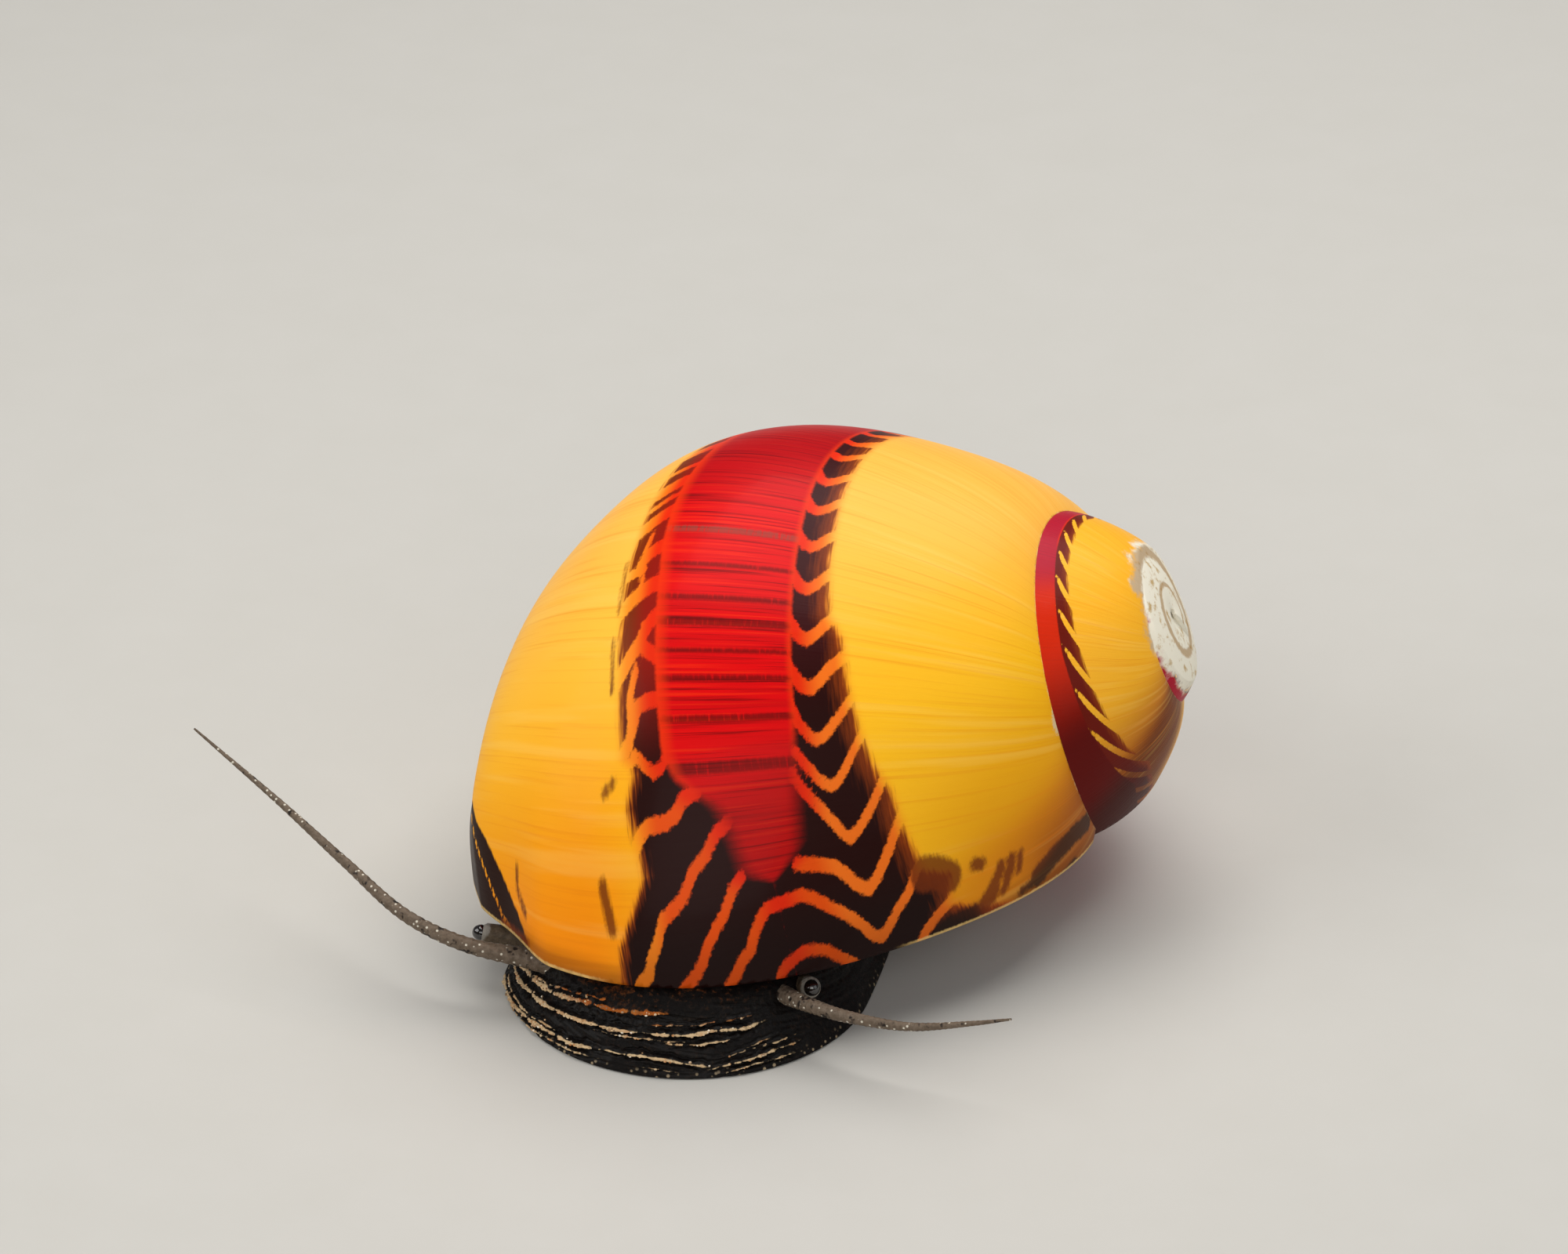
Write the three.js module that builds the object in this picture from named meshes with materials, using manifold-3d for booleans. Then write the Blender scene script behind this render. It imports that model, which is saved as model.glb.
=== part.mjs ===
import * as THREE from "three";
import { mergeVertices } from "three/addons/utils/BufferGeometryUtils.js";
import Module from "manifold-3d";

// Nerite snail, life size, crawling on a flat floor. Millimetres, +Z up. The head looks
// towards -Y, the spire towards +X, and the origin is the middle of the sole on the floor.

const wasm = await Module();
wasm.setup();

// Gaps between neighbours
const GAP = 0.3;
const SMALL_GAP = 0.12;

// Coiling axis of the shell: the point of the spire, and the way from the base to it
const APEX_POINT = new THREE.Vector3(11.6, 5.96, 8.53);
const AXIS_RISE = 25.3;
const AXIS_TURN = 9.2;

// Section of the whorl at the end of its last turn: an ellipse, measured from the apex point
const RADIAL_GROWTH = 2.27;
const AXIAL_GROWTH = 3.08;
const SECTION_RADIUS = 6.81;
const SECTION_DROP = 16.82;
const SECTION_HALF_WIDTH = 6.03;
const SECTION_HALF_LENGTH = 12.08;
const SECTION_TILT = 19.8;
const SECTION_SQUARENESS = -0.05;
const SECTION_SKEW = 0.035;
const BASE_CURVE_REAR = 0.26;
const BASE_CURVE_LIP = 0.8;
const LIP_TUCK = 0.7;
const TUCK_START = 0.8;
const TUCK_TURNS = [50, 80];
const AXIS_HOLE = 0.1;
const COLUMELLA_RADIUS = 0.35;
const COLUMELLA_LENGTH = 10;
const COLUMELLA_DROP = 2.4;

// Angles round the axis: 0 is the top, 90 the side of the head, and growth goes upwards
const LIP_ANGLE = 128;
const HOLLOW_START_ANGLE = -10;
const BODY_START_ANGLE = -225;
const SPIRE_END_ANGLE = -229;
const SPIRE_START_ANGLE = -590;
const APEX_END_ANGLE = -596;
const APEX_START_ANGLE = -880;
const APEX_WEAR = 0.42;
const APEX_CORE_RADIUS = 0.6;
const APEX_CORE_LENGTH = 0.8;

// Plane of the aperture and the thickness of its lip
const LIP_HEIGHT = 2.79;
const LIP_SLOPE_X = 0.008;
const LIP_SLOPE_Y = 0.0843;
const LIP_THICKNESS = 0.75;
const APERTURE_DEPTH = 2.6;

// Flat shelf of callus behind the aperture, in the plane of the lip
const DECK_LEFT = [-6.1, -1.75];
const DECK_RIGHT = [8.8, 1.75];
const DECK_REAR = [3.6, 10.6];
const DECK_LEFT_BOW = [-0.3, 5.2];
const DECK_REAR_BOW = 5;
const DECK_RIGHT_BOW = [1.5, 3.5];
const DECK_PLATE = 1.2;
const DECK_FILL = 2.8;
const DECK_RECESS = 0.12;
const DECK_TEETH = 4;
const DECK_TOOTH = 0.28;
const DECK_TEETH_WIDTH = 3.6;
const DECK_TOOTH_STEPS = 6;

// Foot and head: a round front margin, and a longer round tail
const SOLE_CENTRE = [-0.52, -3.42];
const SOLE_RADIUS = 5.05;
const SOLE_TAIL = 11.6;
const TAIL_SHIFT = 1.2;
const FRONT_INSET = 1.05;
const FLANK_INSET = 2.2;
const TAIL_INSET = 1.3;
const BACK_HEIGHT = 1.75;
const TAIL_HEIGHT = 0.8;
const NECK_END = 2.6;
const TAIL_END = 8;
const WALL_CURVE = 1.2;
const SHOULDER = 0.72;
const ROUNDING = 0.1;
const FOLD_COUNT = 5;
const FOLD_STEPS = 3;
const FOLD_START = 0.05;
const FOLD_END = 0.9;
const FOLD_DEPTH = 0.07;
const BACK_RINGS = [0.7, 0.4];
const HEAD_CUT = [-4.7, 30];
const FOOT_CUT = [2.4, 0];

// Operculum, a half-moon lid carried on the back of the tail
const OPERCULUM_WIDTH = 8.2;
const OPERCULUM_LENGTH = 4.4;
const OPERCULUM_THICKNESS = 0.55;
const OPERCULUM_PLACE = new THREE.Vector3(0.3, 3.1, 2.12);

// Feelers: their paths from the root in the head to the tip, and their thickness
const FEELER_PATHS = {
  left: [
    [-3.4, -5.5, 1.3],
    [-5.86, -6.35, 1.98],
    [-7.72, -6.02, 2.4],
    [-9.9, -4.76, 3.05],
    [-12.12, -3.39, 3.72],
    [-15.1, -2.0, 4.9],
  ],
  right: [
    [2.0, -5.2, 1.3],
    [3.84, -6.47, 1.7],
    [4.8, -6.85, 1.8],
    [6.62, -7.2, 2.0],
    [8.4, -7.35, 2.5],
    [9.5, -7.65, 3.0],
  ],
};
const FEELER_ROOT_RADIUS = 0.36;
const FEELER_MIDDLE_RADIUS = 0.25;
const FEELER_TIP_RADIUS = 0.09;
const FEELER_MIDDLE = 0.55;
const FEELER_LENGTHS = ["base", "middle", "tip"];

// Eyes, each at the end of a short stalk outside the root of its feeler
const EYE_PLACES = {
  left: new THREE.Vector3(-5.96, -5.06, 1.6),
  right: new THREE.Vector3(3.45, -5.38, 1.58),
};
const STALK_ROOTS = {
  left: new THREE.Vector3(-3.7, -4.6, 1.2),
  right: new THREE.Vector3(2.7, -4.5, 1.0),
};
const EYE_RADIUS = 0.23;
const STALK_ROOT_RADIUS = 0.5;
const STALK_TIP_RADIUS = 0.36;

// Mouth, a slit along the underside of the snout
const MOUTH_LENGTH = 1.9;
const MOUTH_WIDTH = 0.5;
const MOUTH_DEPTH = 0.35;
const MOUTH_FRONT = -7.7;

// Width of the slabs and boxes that cut pieces off, wider than the whole snail
const SLAB_WIDTH = 60;

// Fineness of the faceted surfaces
const WHORL_SIDES = 34;
const BODY_STEP = 8;
const SPIRE_SIDES = 26;
const SPIRE_STEP = 14;
const APEX_SIDES = 14;
const APEX_STEP = 20;
const ROOM_SIDES = 22;
const ROOM_STEP = 14;
const SOLE_SIDES = 48;
const FEELER_SIDES = 10;
const FEELER_STEPS = 8;

const radians = THREE.MathUtils.degToRad;
const lerp = THREE.MathUtils.lerp;
const smoothstep = THREE.MathUtils.smoothstep;

// Closed meshes

// A closed mesh through rings of equally many points, each end closed by a fan
function loft(rings) {
  const sides = rings[0].length;
  const points = rings.flat();
  const faces = [];
  for (let row = 0; row + 1 < rings.length; row += 1) {
    for (let side = 0; side < sides; side += 1) {
      const next = (side + 1) % sides;
      const a = row * sides + side;
      const b = row * sides + next;
      faces.push(a, b, b + sides, a, b + sides, a + sides);
    }
  }
  const ends = [rings[0], rings[rings.length - 1]];
  ends.forEach((ring, end) => {
    const middle = ring.reduce((sum, point) => sum.add(point), new THREE.Vector3());
    points.push(middle.divideScalar(sides));
    const pole = points.length - 1;
    const first = end === 0 ? 0 : (rings.length - 1) * sides;
    for (let side = 0; side < sides; side += 1) {
      const a = first + side;
      const b = first + (side + 1) % sides;
      faces.push(...(end === 0 ? [b, a, pole] : [a, b, pole]));
    }
  });
  return facingOut(new THREE.BufferGeometry().setFromPoints(points).setIndex(faces));
}

// The same mesh with its faces turned over if they point in
function facingOut(geometry) {
  const place = geometry.getAttribute("position");
  const faces = Array.from(geometry.index.array);
  let volume = 0;
  for (let corner = 0; corner < faces.length; corner += 3) {
    const [a, b, c] = [0, 1, 2].map((k) => {
      return new THREE.Vector3().fromBufferAttribute(place, faces[corner + k]);
    });
    volume += a.dot(b.cross(c));
  }
  return volume < 0 ? geometry.setIndex(faces.reverse()) : geometry;
}

// Joins and cuts

function solidOf(geometry) {
  const bare = new THREE.BufferGeometry();
  bare.setAttribute("position", geometry.getAttribute("position").clone());
  bare.setIndex(geometry.index);
  const welded = mergeVertices(bare, 1e-4);
  return new wasm.Manifold(new wasm.Mesh({
    numProp: 3,
    vertProperties: new Float32Array(welded.getAttribute("position").array),
    triVerts: new Uint32Array(welded.index.array),
  }));
}

function geometryOf(solid) {
  const mesh = solid.getMesh();
  const geometry = new THREE.BufferGeometry();
  geometry.setAttribute("position", new THREE.BufferAttribute(mesh.vertProperties, 3));
  geometry.setIndex(new THREE.BufferAttribute(mesh.triVerts, 1));
  geometry.computeVertexNormals();
  return geometry;
}

// The largest closed surface of a solid, so hollows are filled and scraps dropped
function largest(solid) {
  const pieces = solid.decompose();
  pieces.sort((a, b) => b.volume() - a.volume());
  return pieces[0];
}

function boxSolid(size, place, turn = new THREE.Euler()) {
  const geometry = new THREE.BoxGeometry(...size);
  geometry.applyMatrix4(new THREE.Matrix4().makeRotationFromEuler(turn));
  geometry.translate(...place);
  return solidOf(geometry);
}

// Shell

const AXIS = new THREE.Vector3(
  Math.cos(radians(AXIS_RISE)) * Math.cos(radians(AXIS_TURN)),
  Math.cos(radians(AXIS_RISE)) * Math.sin(radians(AXIS_TURN)),
  Math.sin(radians(AXIS_RISE)),
);
const UPWARD = new THREE.Vector3(0, 0, 1).addScaledVector(AXIS, -AXIS.z).normalize();
const HEADWARD = new THREE.Vector3().crossVectors(AXIS, UPWARD);

function signedPower(value, power) {
  return Math.sign(value) * Math.abs(value) ** power;
}

// Radius from the axis and drop below the apex point of one point of the whorl's section
function sectionPoint(angle, around) {
  const turns = (angle - 180) / 360;
  const swell = 1 + SECTION_SQUARENESS * Math.sin(4 * around) + SECTION_SKEW * Math.sin(3 * around);
  const isBase = Math.cos(around) < 0 && Math.sin(around) < 0;
  const power = isBase ? lerp(BASE_CURVE_REAR, BASE_CURVE_LIP, smoothstep(angle, 0, 90)) : 1;
  const wide = SECTION_HALF_WIDTH * signedPower(Math.cos(around), power) * swell;
  const long = SECTION_HALF_LENGTH * signedPower(Math.sin(around), power) * swell;
  const tilt = radians(SECTION_TILT);
  const radius = SECTION_RADIUS + wide * Math.cos(tilt) - long * Math.sin(tilt);
  const along = -SECTION_DROP + wide * Math.sin(tilt) + long * Math.cos(tilt);
  return new THREE.Vector2(radius * RADIAL_GROWTH ** turns, along * AXIAL_GROWTH ** turns);
}

// How far the low flank of the tube draws in as it nears the lip
function lipTuck(angle, around) {
  return LIP_TUCK * smoothstep(angle, ...TUCK_TURNS) * smoothstep(-Math.sin(around), TUCK_START, 1);
}

// The section's ring of points in space, moved outwards by grow
function whorlRing(angle, sides, grow) {
  const ring = [];
  const step = 0.01;
  for (let side = 0; side < sides; side += 1) {
    const around = (side / sides) * 2 * Math.PI;
    const point = sectionPoint(angle, around);
    const along = sectionPoint(angle, around + step).sub(sectionPoint(angle, around - step));
    const outward = new THREE.Vector2(along.y, -along.x).normalize();
    point.addScaledVector(outward, grow - lipTuck(angle, around));
    const radius = Math.max(point.x, AXIS_HOLE);
    ring.push(APEX_POINT.clone()
      .addScaledVector(AXIS, point.y)
      .addScaledVector(UPWARD, radius * Math.cos(radians(angle)))
      .addScaledVector(HEADWARD, radius * Math.sin(radians(angle))));
  }
  return ring;
}

function whorl(start, end, step, sides, grow = 0) {
  const count = Math.ceil((end - start) / step);
  const rings = [];
  for (let row = 0; row <= count; row += 1) {
    rings.push(whorlRing(lerp(start, end, row / count), sides, grow));
  }
  return solidOf(loft(rings));
}

function lipHeight(x, y) {
  return LIP_HEIGHT + LIP_SLOPE_X * x + LIP_SLOPE_Y * y;
}

// Moves a shape drawn flat, with its thickness along Z, onto the plane of the lip
function ontoLip(geometry, rise) {
  const normal = new THREE.Vector3(-LIP_SLOPE_X, -LIP_SLOPE_Y, 1).normalize();
  const lean = new THREE.Quaternion().setFromUnitVectors(new THREE.Vector3(0, 0, 1), normal);
  geometry.applyQuaternion(lean);
  geometry.translate(0, 0, lipHeight(0, 0));
  geometry.translate(...normal.multiplyScalar(rise));
  return geometry;
}

// A wide slab from one height above the plane of the lip to another
function lipSlab(low, high) {
  const slab = new THREE.BoxGeometry(SLAB_WIDTH, SLAB_WIDTH, high - low);
  slab.translate(0, 0, (high - low) / 2);
  return solidOf(ontoLip(slab, low));
}

// The deck's outline from above: a straight toothed edge in front and a round one behind
function deckSolid(low, high, grow) {
  const edge = [];
  const front = new THREE.Vector2(...DECK_LEFT).sub(new THREE.Vector2(...DECK_RIGHT));
  const width = front.length();
  const outward = new THREE.Vector2(-front.y, front.x).normalize();
  const steps = DECK_TEETH * DECK_TOOTH_STEPS;
  edge.push(new THREE.Vector2(...DECK_RIGHT));
  for (let step = 0; step <= steps; step += 1) {
    const along = 0.5 + (step / steps - 0.5) * (DECK_TEETH_WIDTH / width);
    const wave = Math.sin((step / steps) * DECK_TEETH * Math.PI);
    const point = new THREE.Vector2(...DECK_RIGHT).addScaledVector(front, along);
    edge.push(point.addScaledVector(outward, DECK_TOOTH * wave * wave));
  }
  edge.push(new THREE.Vector2(...DECK_LEFT));
  const shape = new THREE.Shape(edge);
  const [rearX, rearY] = DECK_REAR;
  const [leftX, leftY] = DECK_LEFT;
  const [rightX, rightY] = DECK_RIGHT;
  const [leftBowX, leftBowY] = DECK_LEFT_BOW;
  const [rightBowX, rightBowY] = DECK_RIGHT_BOW;
  const bow = DECK_REAR_BOW;
  shape.bezierCurveTo(leftX + leftBowX, leftY + leftBowY, rearX - bow, rearY, rearX, rearY);
  shape.bezierCurveTo(rearX + bow, rearY, rightX + rightBowX, rightY + rightBowY, rightX, rightY);
  const options = { depth: high - low, bevelEnabled: false, curveSegments: 14 };
  const geometry = new THREE.ExtrudeGeometry(shape, options);
  const middle = [(leftX + rightX) / 2, (leftY + rearY) / 2];
  const scale = 1 + grow / (width / 2);
  geometry.translate(-middle[0], -middle[1], 0);
  geometry.scale(scale, scale, 1);
  geometry.translate(middle[0], middle[1], 0);
  return solidOf(merged(ontoLip(geometry, low)));
}

function merged(geometry) {
  geometry.deleteAttribute("normal");
  geometry.deleteAttribute("uv");
  return mergeVertices(geometry, 1e-4);
}

function columella(grow) {
  const radius = COLUMELLA_RADIUS + grow;
  const rod = new THREE.CylinderGeometry(radius, radius, COLUMELLA_LENGTH, 12);
  const lean = new THREE.Quaternion().setFromUnitVectors(new THREE.Vector3(0, 1, 0), AXIS);
  rod.applyQuaternion(lean);
  rod.translate(...APEX_POINT.clone().addScaledVector(AXIS, -COLUMELLA_DROP - COLUMELLA_LENGTH / 2));
  return solidOf(merged(rod));
}

const aboveLip = lipSlab(0, SLAB_WIDTH);
const apexRoom = whorl(APEX_START_ANGLE, APEX_END_ANGLE, APEX_STEP, APEX_SIDES, GAP)
  .add(apexCore(GAP));
const spireRoom = whorl(SPIRE_START_ANGLE, SPIRE_END_ANGLE, ROOM_STEP, ROOM_SIDES, GAP);
const deckRoom = deckSolid(-1, DECK_PLATE + GAP, GAP);

function bodyWhorl() {
  const full = whorl(BODY_START_ANGLE, LIP_ANGLE, BODY_STEP, WHORL_SIDES);
  const hollow = whorl(HOLLOW_START_ANGLE, LIP_ANGLE + 5, ROOM_STEP, ROOM_SIDES, -LIP_THICKNESS);
  const room = hollow.intersect(lipSlab(-1, APERTURE_DEPTH));
  return largest(full.add(columella(0))
    .intersect(aboveLip)
    .subtract(spireRoom)
    .subtract(apexRoom)
    .subtract(room)
    .subtract(deckRoom));
}

function spireWhorl() {
  const full = whorl(SPIRE_START_ANGLE, SPIRE_END_ANGLE, SPIRE_STEP, SPIRE_SIDES);
  return largest(full.intersect(aboveLip).subtract(apexRoom).subtract(deckRoom));
}

function apexCore(grow) {
  const radius = APEX_CORE_RADIUS + grow;
  const rod = new THREE.CylinderGeometry(radius, radius, APEX_CORE_LENGTH + 2 * grow, 12);
  rod.applyQuaternion(new THREE.Quaternion().setFromUnitVectors(new THREE.Vector3(0, 1, 0), AXIS));
  rod.translate(...APEX_POINT.clone().addScaledVector(AXIS, -APEX_WEAR - APEX_CORE_LENGTH / 2));
  return solidOf(merged(rod));
}

function apex() {
  const worn = new THREE.BoxGeometry(SLAB_WIDTH, SLAB_WIDTH, SLAB_WIDTH);
  worn.translate(0, 0, -SLAB_WIDTH / 2);
  const lean = new THREE.Quaternion().setFromUnitVectors(new THREE.Vector3(0, 0, 1), AXIS);
  worn.applyQuaternion(lean);
  worn.translate(...APEX_POINT.clone().addScaledVector(AXIS, -APEX_WEAR));
  const full = whorl(APEX_START_ANGLE, APEX_END_ANGLE, APEX_STEP, APEX_SIDES).add(apexCore(0));
  return largest(full.intersect(solidOf(worn)));
}

function columellarDeck() {
  const bodyRoom = whorl(BODY_START_ANGLE, LIP_ANGLE, ROOM_STEP, ROOM_SIDES, GAP);
  const fill = deckSolid(DECK_RECESS, DECK_FILL, 0)
    .subtract(bodyRoom)
    .subtract(spireRoom)
    .subtract(columella(GAP));
  return largest(deckSolid(DECK_RECESS, DECK_PLATE, 0).add(fill));
}

// The mantle fills the mouth of the shell, up to its lip
function mantleEdge() {
  const inset = -LIP_THICKNESS - GAP;
  const inner = whorl(HOLLOW_START_ANGLE, LIP_ANGLE + 5, ROOM_STEP, ROOM_SIDES, inset);
  return largest(inner.intersect(lipSlab(0, APERTURE_DEPTH - GAP))
    .subtract(deckRoom)
    .subtract(spireRoom));
}

// Foot and head

// Edge of the sole at an angle, where 0 is +X and 90 the tail
function soleEdge(angle) {
  const tail = Math.max(Math.sin(angle), 0);
  const length = Math.sin(angle) > 0 ? SOLE_TAIL : SOLE_RADIUS;
  return new THREE.Vector2(
    SOLE_CENTRE[0] + SOLE_RADIUS * Math.cos(angle) + TAIL_SHIFT * tail * tail,
    SOLE_CENTRE[1] + length * Math.sin(angle),
  );
}

// Outward direction, level with the floor, at that angle of the sole's edge
function soleNormal(angle) {
  const length = Math.sin(angle) > 0 ? SOLE_TAIL : SOLE_RADIUS;
  return new THREE.Vector2(Math.cos(angle) / SOLE_RADIUS, Math.sin(angle) / length).normalize();
}

// Height of the back of the foot: just under the lip in front, then down to the tail
function backHeight(x, y) {
  const underLip = lipHeight(x, y) - GAP;
  const tail = lerp(BACK_HEIGHT, TAIL_HEIGHT, smoothstep(y, NECK_END, TAIL_END));
  return lerp(underLip, tail, smoothstep(y, 0, NECK_END));
}

// Share of the height, and of the inset, of each ring from the sole to the middle of the back
function bodyRings() {
  const profile = [[0, ROUNDING], [FOLD_START, 0]];
  const steps = FOLD_COUNT * FOLD_STEPS;
  for (let step = 1; step <= steps; step += 1) {
    const share = lerp(FOLD_START, FOLD_END, step / steps);
    const fold = 0.5 - 0.5 * Math.cos((step / steps) * FOLD_COUNT * 2 * Math.PI);
    profile.push([share, (share / FOLD_END) ** WALL_CURVE * SHOULDER, fold]);
  }
  profile.push([(1 + FOLD_END) / 2, (1 + SHOULDER) / 2]);
  profile.push([1, 1 + SHOULDER / 2]);
  return profile;
}

// The body of flesh, or the same swollen by grow
function wholeBody(grow = 0) {
  const rings = bodyRings().map(([height, inset, fold = 0]) => {
    const points = [];
    for (let side = 0; side < SOLE_SIDES; side += 1) {
      const angle = (side / SOLE_SIDES) * 2 * Math.PI;
      const edge = soleEdge(angle);
      const end = Math.sin(angle) > 0 ? TAIL_INSET : FRONT_INSET;
      const wall = lerp(FLANK_INSET, end, Math.sin(angle) ** 2);
      const foldHere = FOLD_DEPTH * fold * smoothstep(-edge.y, 0, -HEAD_CUT[0]);
      const depth = wall * inset + foldHere - grow;
      edge.addScaledVector(soleNormal(angle), -depth);
      const top = backHeight(edge.x, edge.y) + grow;
      points.push(new THREE.Vector3(edge.x, edge.y, height * top));
    }
    return points;
  });
  const last = rings[rings.length - 1];
  BACK_RINGS.forEach((share) => {
    rings.push(last.map((point) => {
      const x = point.x * share;
      const y = point.y * share;
      return new THREE.Vector3(x, y, backHeight(x, y) + grow);
    }));
  });
  return solidOf(loft(rings));
}

// A thin slice across the body, leaning back by an angle, or all that lies before it
function slice([place, lean], before) {
  const turn = new THREE.Euler(-radians(lean), 0, 0);
  const depth = before ? SLAB_WIDTH : GAP;
  const size = [SLAB_WIDTH, depth, SLAB_WIDTH];
  const offset = before ? -SLAB_WIDTH / 2 : 0;
  const shift = new THREE.Vector3(0, offset, 0).applyEuler(turn);
  return boxSolid(size, [shift.x, place + shift.y, shift.z], turn);
}

function mouth() {
  const place = [SOLE_CENTRE[0], MOUTH_FRONT + MOUTH_LENGTH / 2, 0];
  const slit = new THREE.CylinderGeometry(1, 1, MOUTH_WIDTH, 16);
  slit.rotateZ(Math.PI / 2);
  slit.scale(1, MOUTH_LENGTH / 2, MOUTH_DEPTH);
  slit.translate(...place);
  return solidOf(merged(slit));
}

const body = wholeBody();

function headSnout() {
  return largest(body.intersect(slice(HEAD_CUT, true))
    .subtract(slice(HEAD_CUT, false))
    .subtract(mouth()));
}

function footFront() {
  return largest(body.subtract(slice(HEAD_CUT, true))
    .subtract(slice(HEAD_CUT, false))
    .intersect(slice(FOOT_CUT, true))
    .subtract(slice(FOOT_CUT, false)));
}

function footTail() {
  return largest(body.subtract(slice(FOOT_CUT, true)).subtract(slice(FOOT_CUT, false)));
}

function operculum() {
  const shape = new THREE.Shape();
  shape.moveTo(-OPERCULUM_WIDTH / 2, 0);
  shape.lineTo(OPERCULUM_WIDTH / 2, 0);
  shape.absellipse(0, 0, OPERCULUM_WIDTH / 2, OPERCULUM_LENGTH, 0, Math.PI, false);
  const options = { depth: OPERCULUM_THICKNESS, bevelEnabled: false, curveSegments: 20 };
  const plate = new THREE.ExtrudeGeometry(shape, options);
  plate.translate(...OPERCULUM_PLACE);
  return largest(solidOf(merged(plate)));
}

// Feelers and eyes

function feelerRadius(share) {
  if (share < FEELER_MIDDLE) {
    return lerp(FEELER_ROOT_RADIUS, FEELER_MIDDLE_RADIUS, share / FEELER_MIDDLE);
  }
  const rest = (share - FEELER_MIDDLE) / (1 - FEELER_MIDDLE);
  return lerp(FEELER_MIDDLE_RADIUS, FEELER_TIP_RADIUS, rest);
}

function tube(curve, start, end, steps, radius) {
  const rings = [];
  for (let step = 0; step <= steps; step += 1) {
    const share = lerp(start, end, step / steps);
    const centre = curve.getPointAt(share);
    const along = curve.getTangentAt(share);
    const side = new THREE.Vector3().crossVectors(along, new THREE.Vector3(0, 0, 1)).normalize();
    const top = new THREE.Vector3().crossVectors(side, along);
    const ring = [];
    for (let k = 0; k < FEELER_SIDES; k += 1) {
      const angle = (k / FEELER_SIDES) * 2 * Math.PI;
      ring.push(centre.clone()
        .addScaledVector(side, radius(share) * Math.cos(angle))
        .addScaledVector(top, radius(share) * Math.sin(angle)));
    }
    rings.push(ring);
  }
  return solidOf(loft(rings));
}

// The head swollen by a small gap, so that feelers and stalks end just off its skin
const headRoom = wholeBody(SMALL_GAP);

function feelerCurve(name) {
  const points = FEELER_PATHS[name].map((point) => new THREE.Vector3(...point));
  return new THREE.CatmullRomCurve3(points);
}

function feeler(name, length) {
  const curve = feelerCurve(name);
  const gap = SMALL_GAP / curve.getLength();
  const start = length / FEELER_LENGTHS.length + (length > 0 ? gap : 0);
  const end = (length + 1) / FEELER_LENGTHS.length;
  return largest(tube(curve, start, end, FEELER_STEPS, feelerRadius).subtract(headRoom));
}

function eyeStalk(name) {
  const root = STALK_ROOTS[name];
  const eye = EYE_PLACES[name];
  const reach = eye.clone().sub(root).normalize();
  const curve = new THREE.LineCurve3(root, eye);
  const radius = (share) => lerp(STALK_ROOT_RADIUS, STALK_TIP_RADIUS, share);
  const socket = new THREE.SphereGeometry(EYE_RADIUS + SMALL_GAP, 12, 8);
  socket.translate(...eye);
  const stalk = tube(curve, 0, 1, 3, radius);
  const thicker = (share) => feelerRadius(share) + SMALL_GAP;
  const feelerRoom = tube(feelerCurve(name), 0, 1 / FEELER_LENGTHS.length, FEELER_STEPS, thicker);
  return largest(stalk.subtract(headRoom).subtract(feelerRoom).subtract(solidOf(merged(socket))));
}

function eyeball(name) {
  const ball = new THREE.SphereGeometry(EYE_RADIUS, 12, 8);
  ball.translate(...EYE_PLACES[name]);
  return solidOf(merged(ball));
}

// Materials

function finish(color, roughness) {
  return new THREE.MeshStandardMaterial({ color, roughness, metalness: 0 });
}

const SHELL = finish(0xe8a21c, 0.3);
const WORN_SHELL = finish(0xe9e4d6, 0.6);
const CALLUS = finish(0xd9dcc8, 0.35);
const LID = finish(0x3a2a22, 0.45);
const SKIN = finish(0x1d1815, 0.45);
const SOLE = finish(0x6d655c, 0.5);
const FEELER = finish(0x6f675e, 0.4);
const EYE = finish(0x0b0a0a, 0.08);

// The snail

const snail = new THREE.Group();

function add(name, solid, material) {
  const mesh = new THREE.Mesh(geometryOf(solid), material);
  mesh.name = name;
  snail.add(mesh);
}

add("shell_body_whorl", bodyWhorl(), SHELL);
add("shell_spire_whorl", spireWhorl(), SHELL);
add("shell_apex", apex(), WORN_SHELL);
add("shell_columellar_deck", columellarDeck(), CALLUS);
add("operculum", operculum(), LID);
add("mantle_edge", mantleEdge(), SKIN);
add("head_snout", headSnout(), SKIN);
add("foot_front", footFront(), SOLE);
add("foot_tail", footTail(), SOLE);
Object.keys(FEELER_PATHS).forEach((side) => {
  FEELER_LENGTHS.forEach((length, index) => {
    add(`tentacle_${side}_${length}`, feeler(side, index), FEELER);
  });
  add(`eyestalk_${side}`, eyeStalk(side), SKIN);
  add(`eye_${side}`, eyeball(side), EYE);
});

export default snail;
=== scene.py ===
"""A life-size nerite snail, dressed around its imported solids: shell, deck, lid, skin, eyes and stage."""

import math

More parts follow.
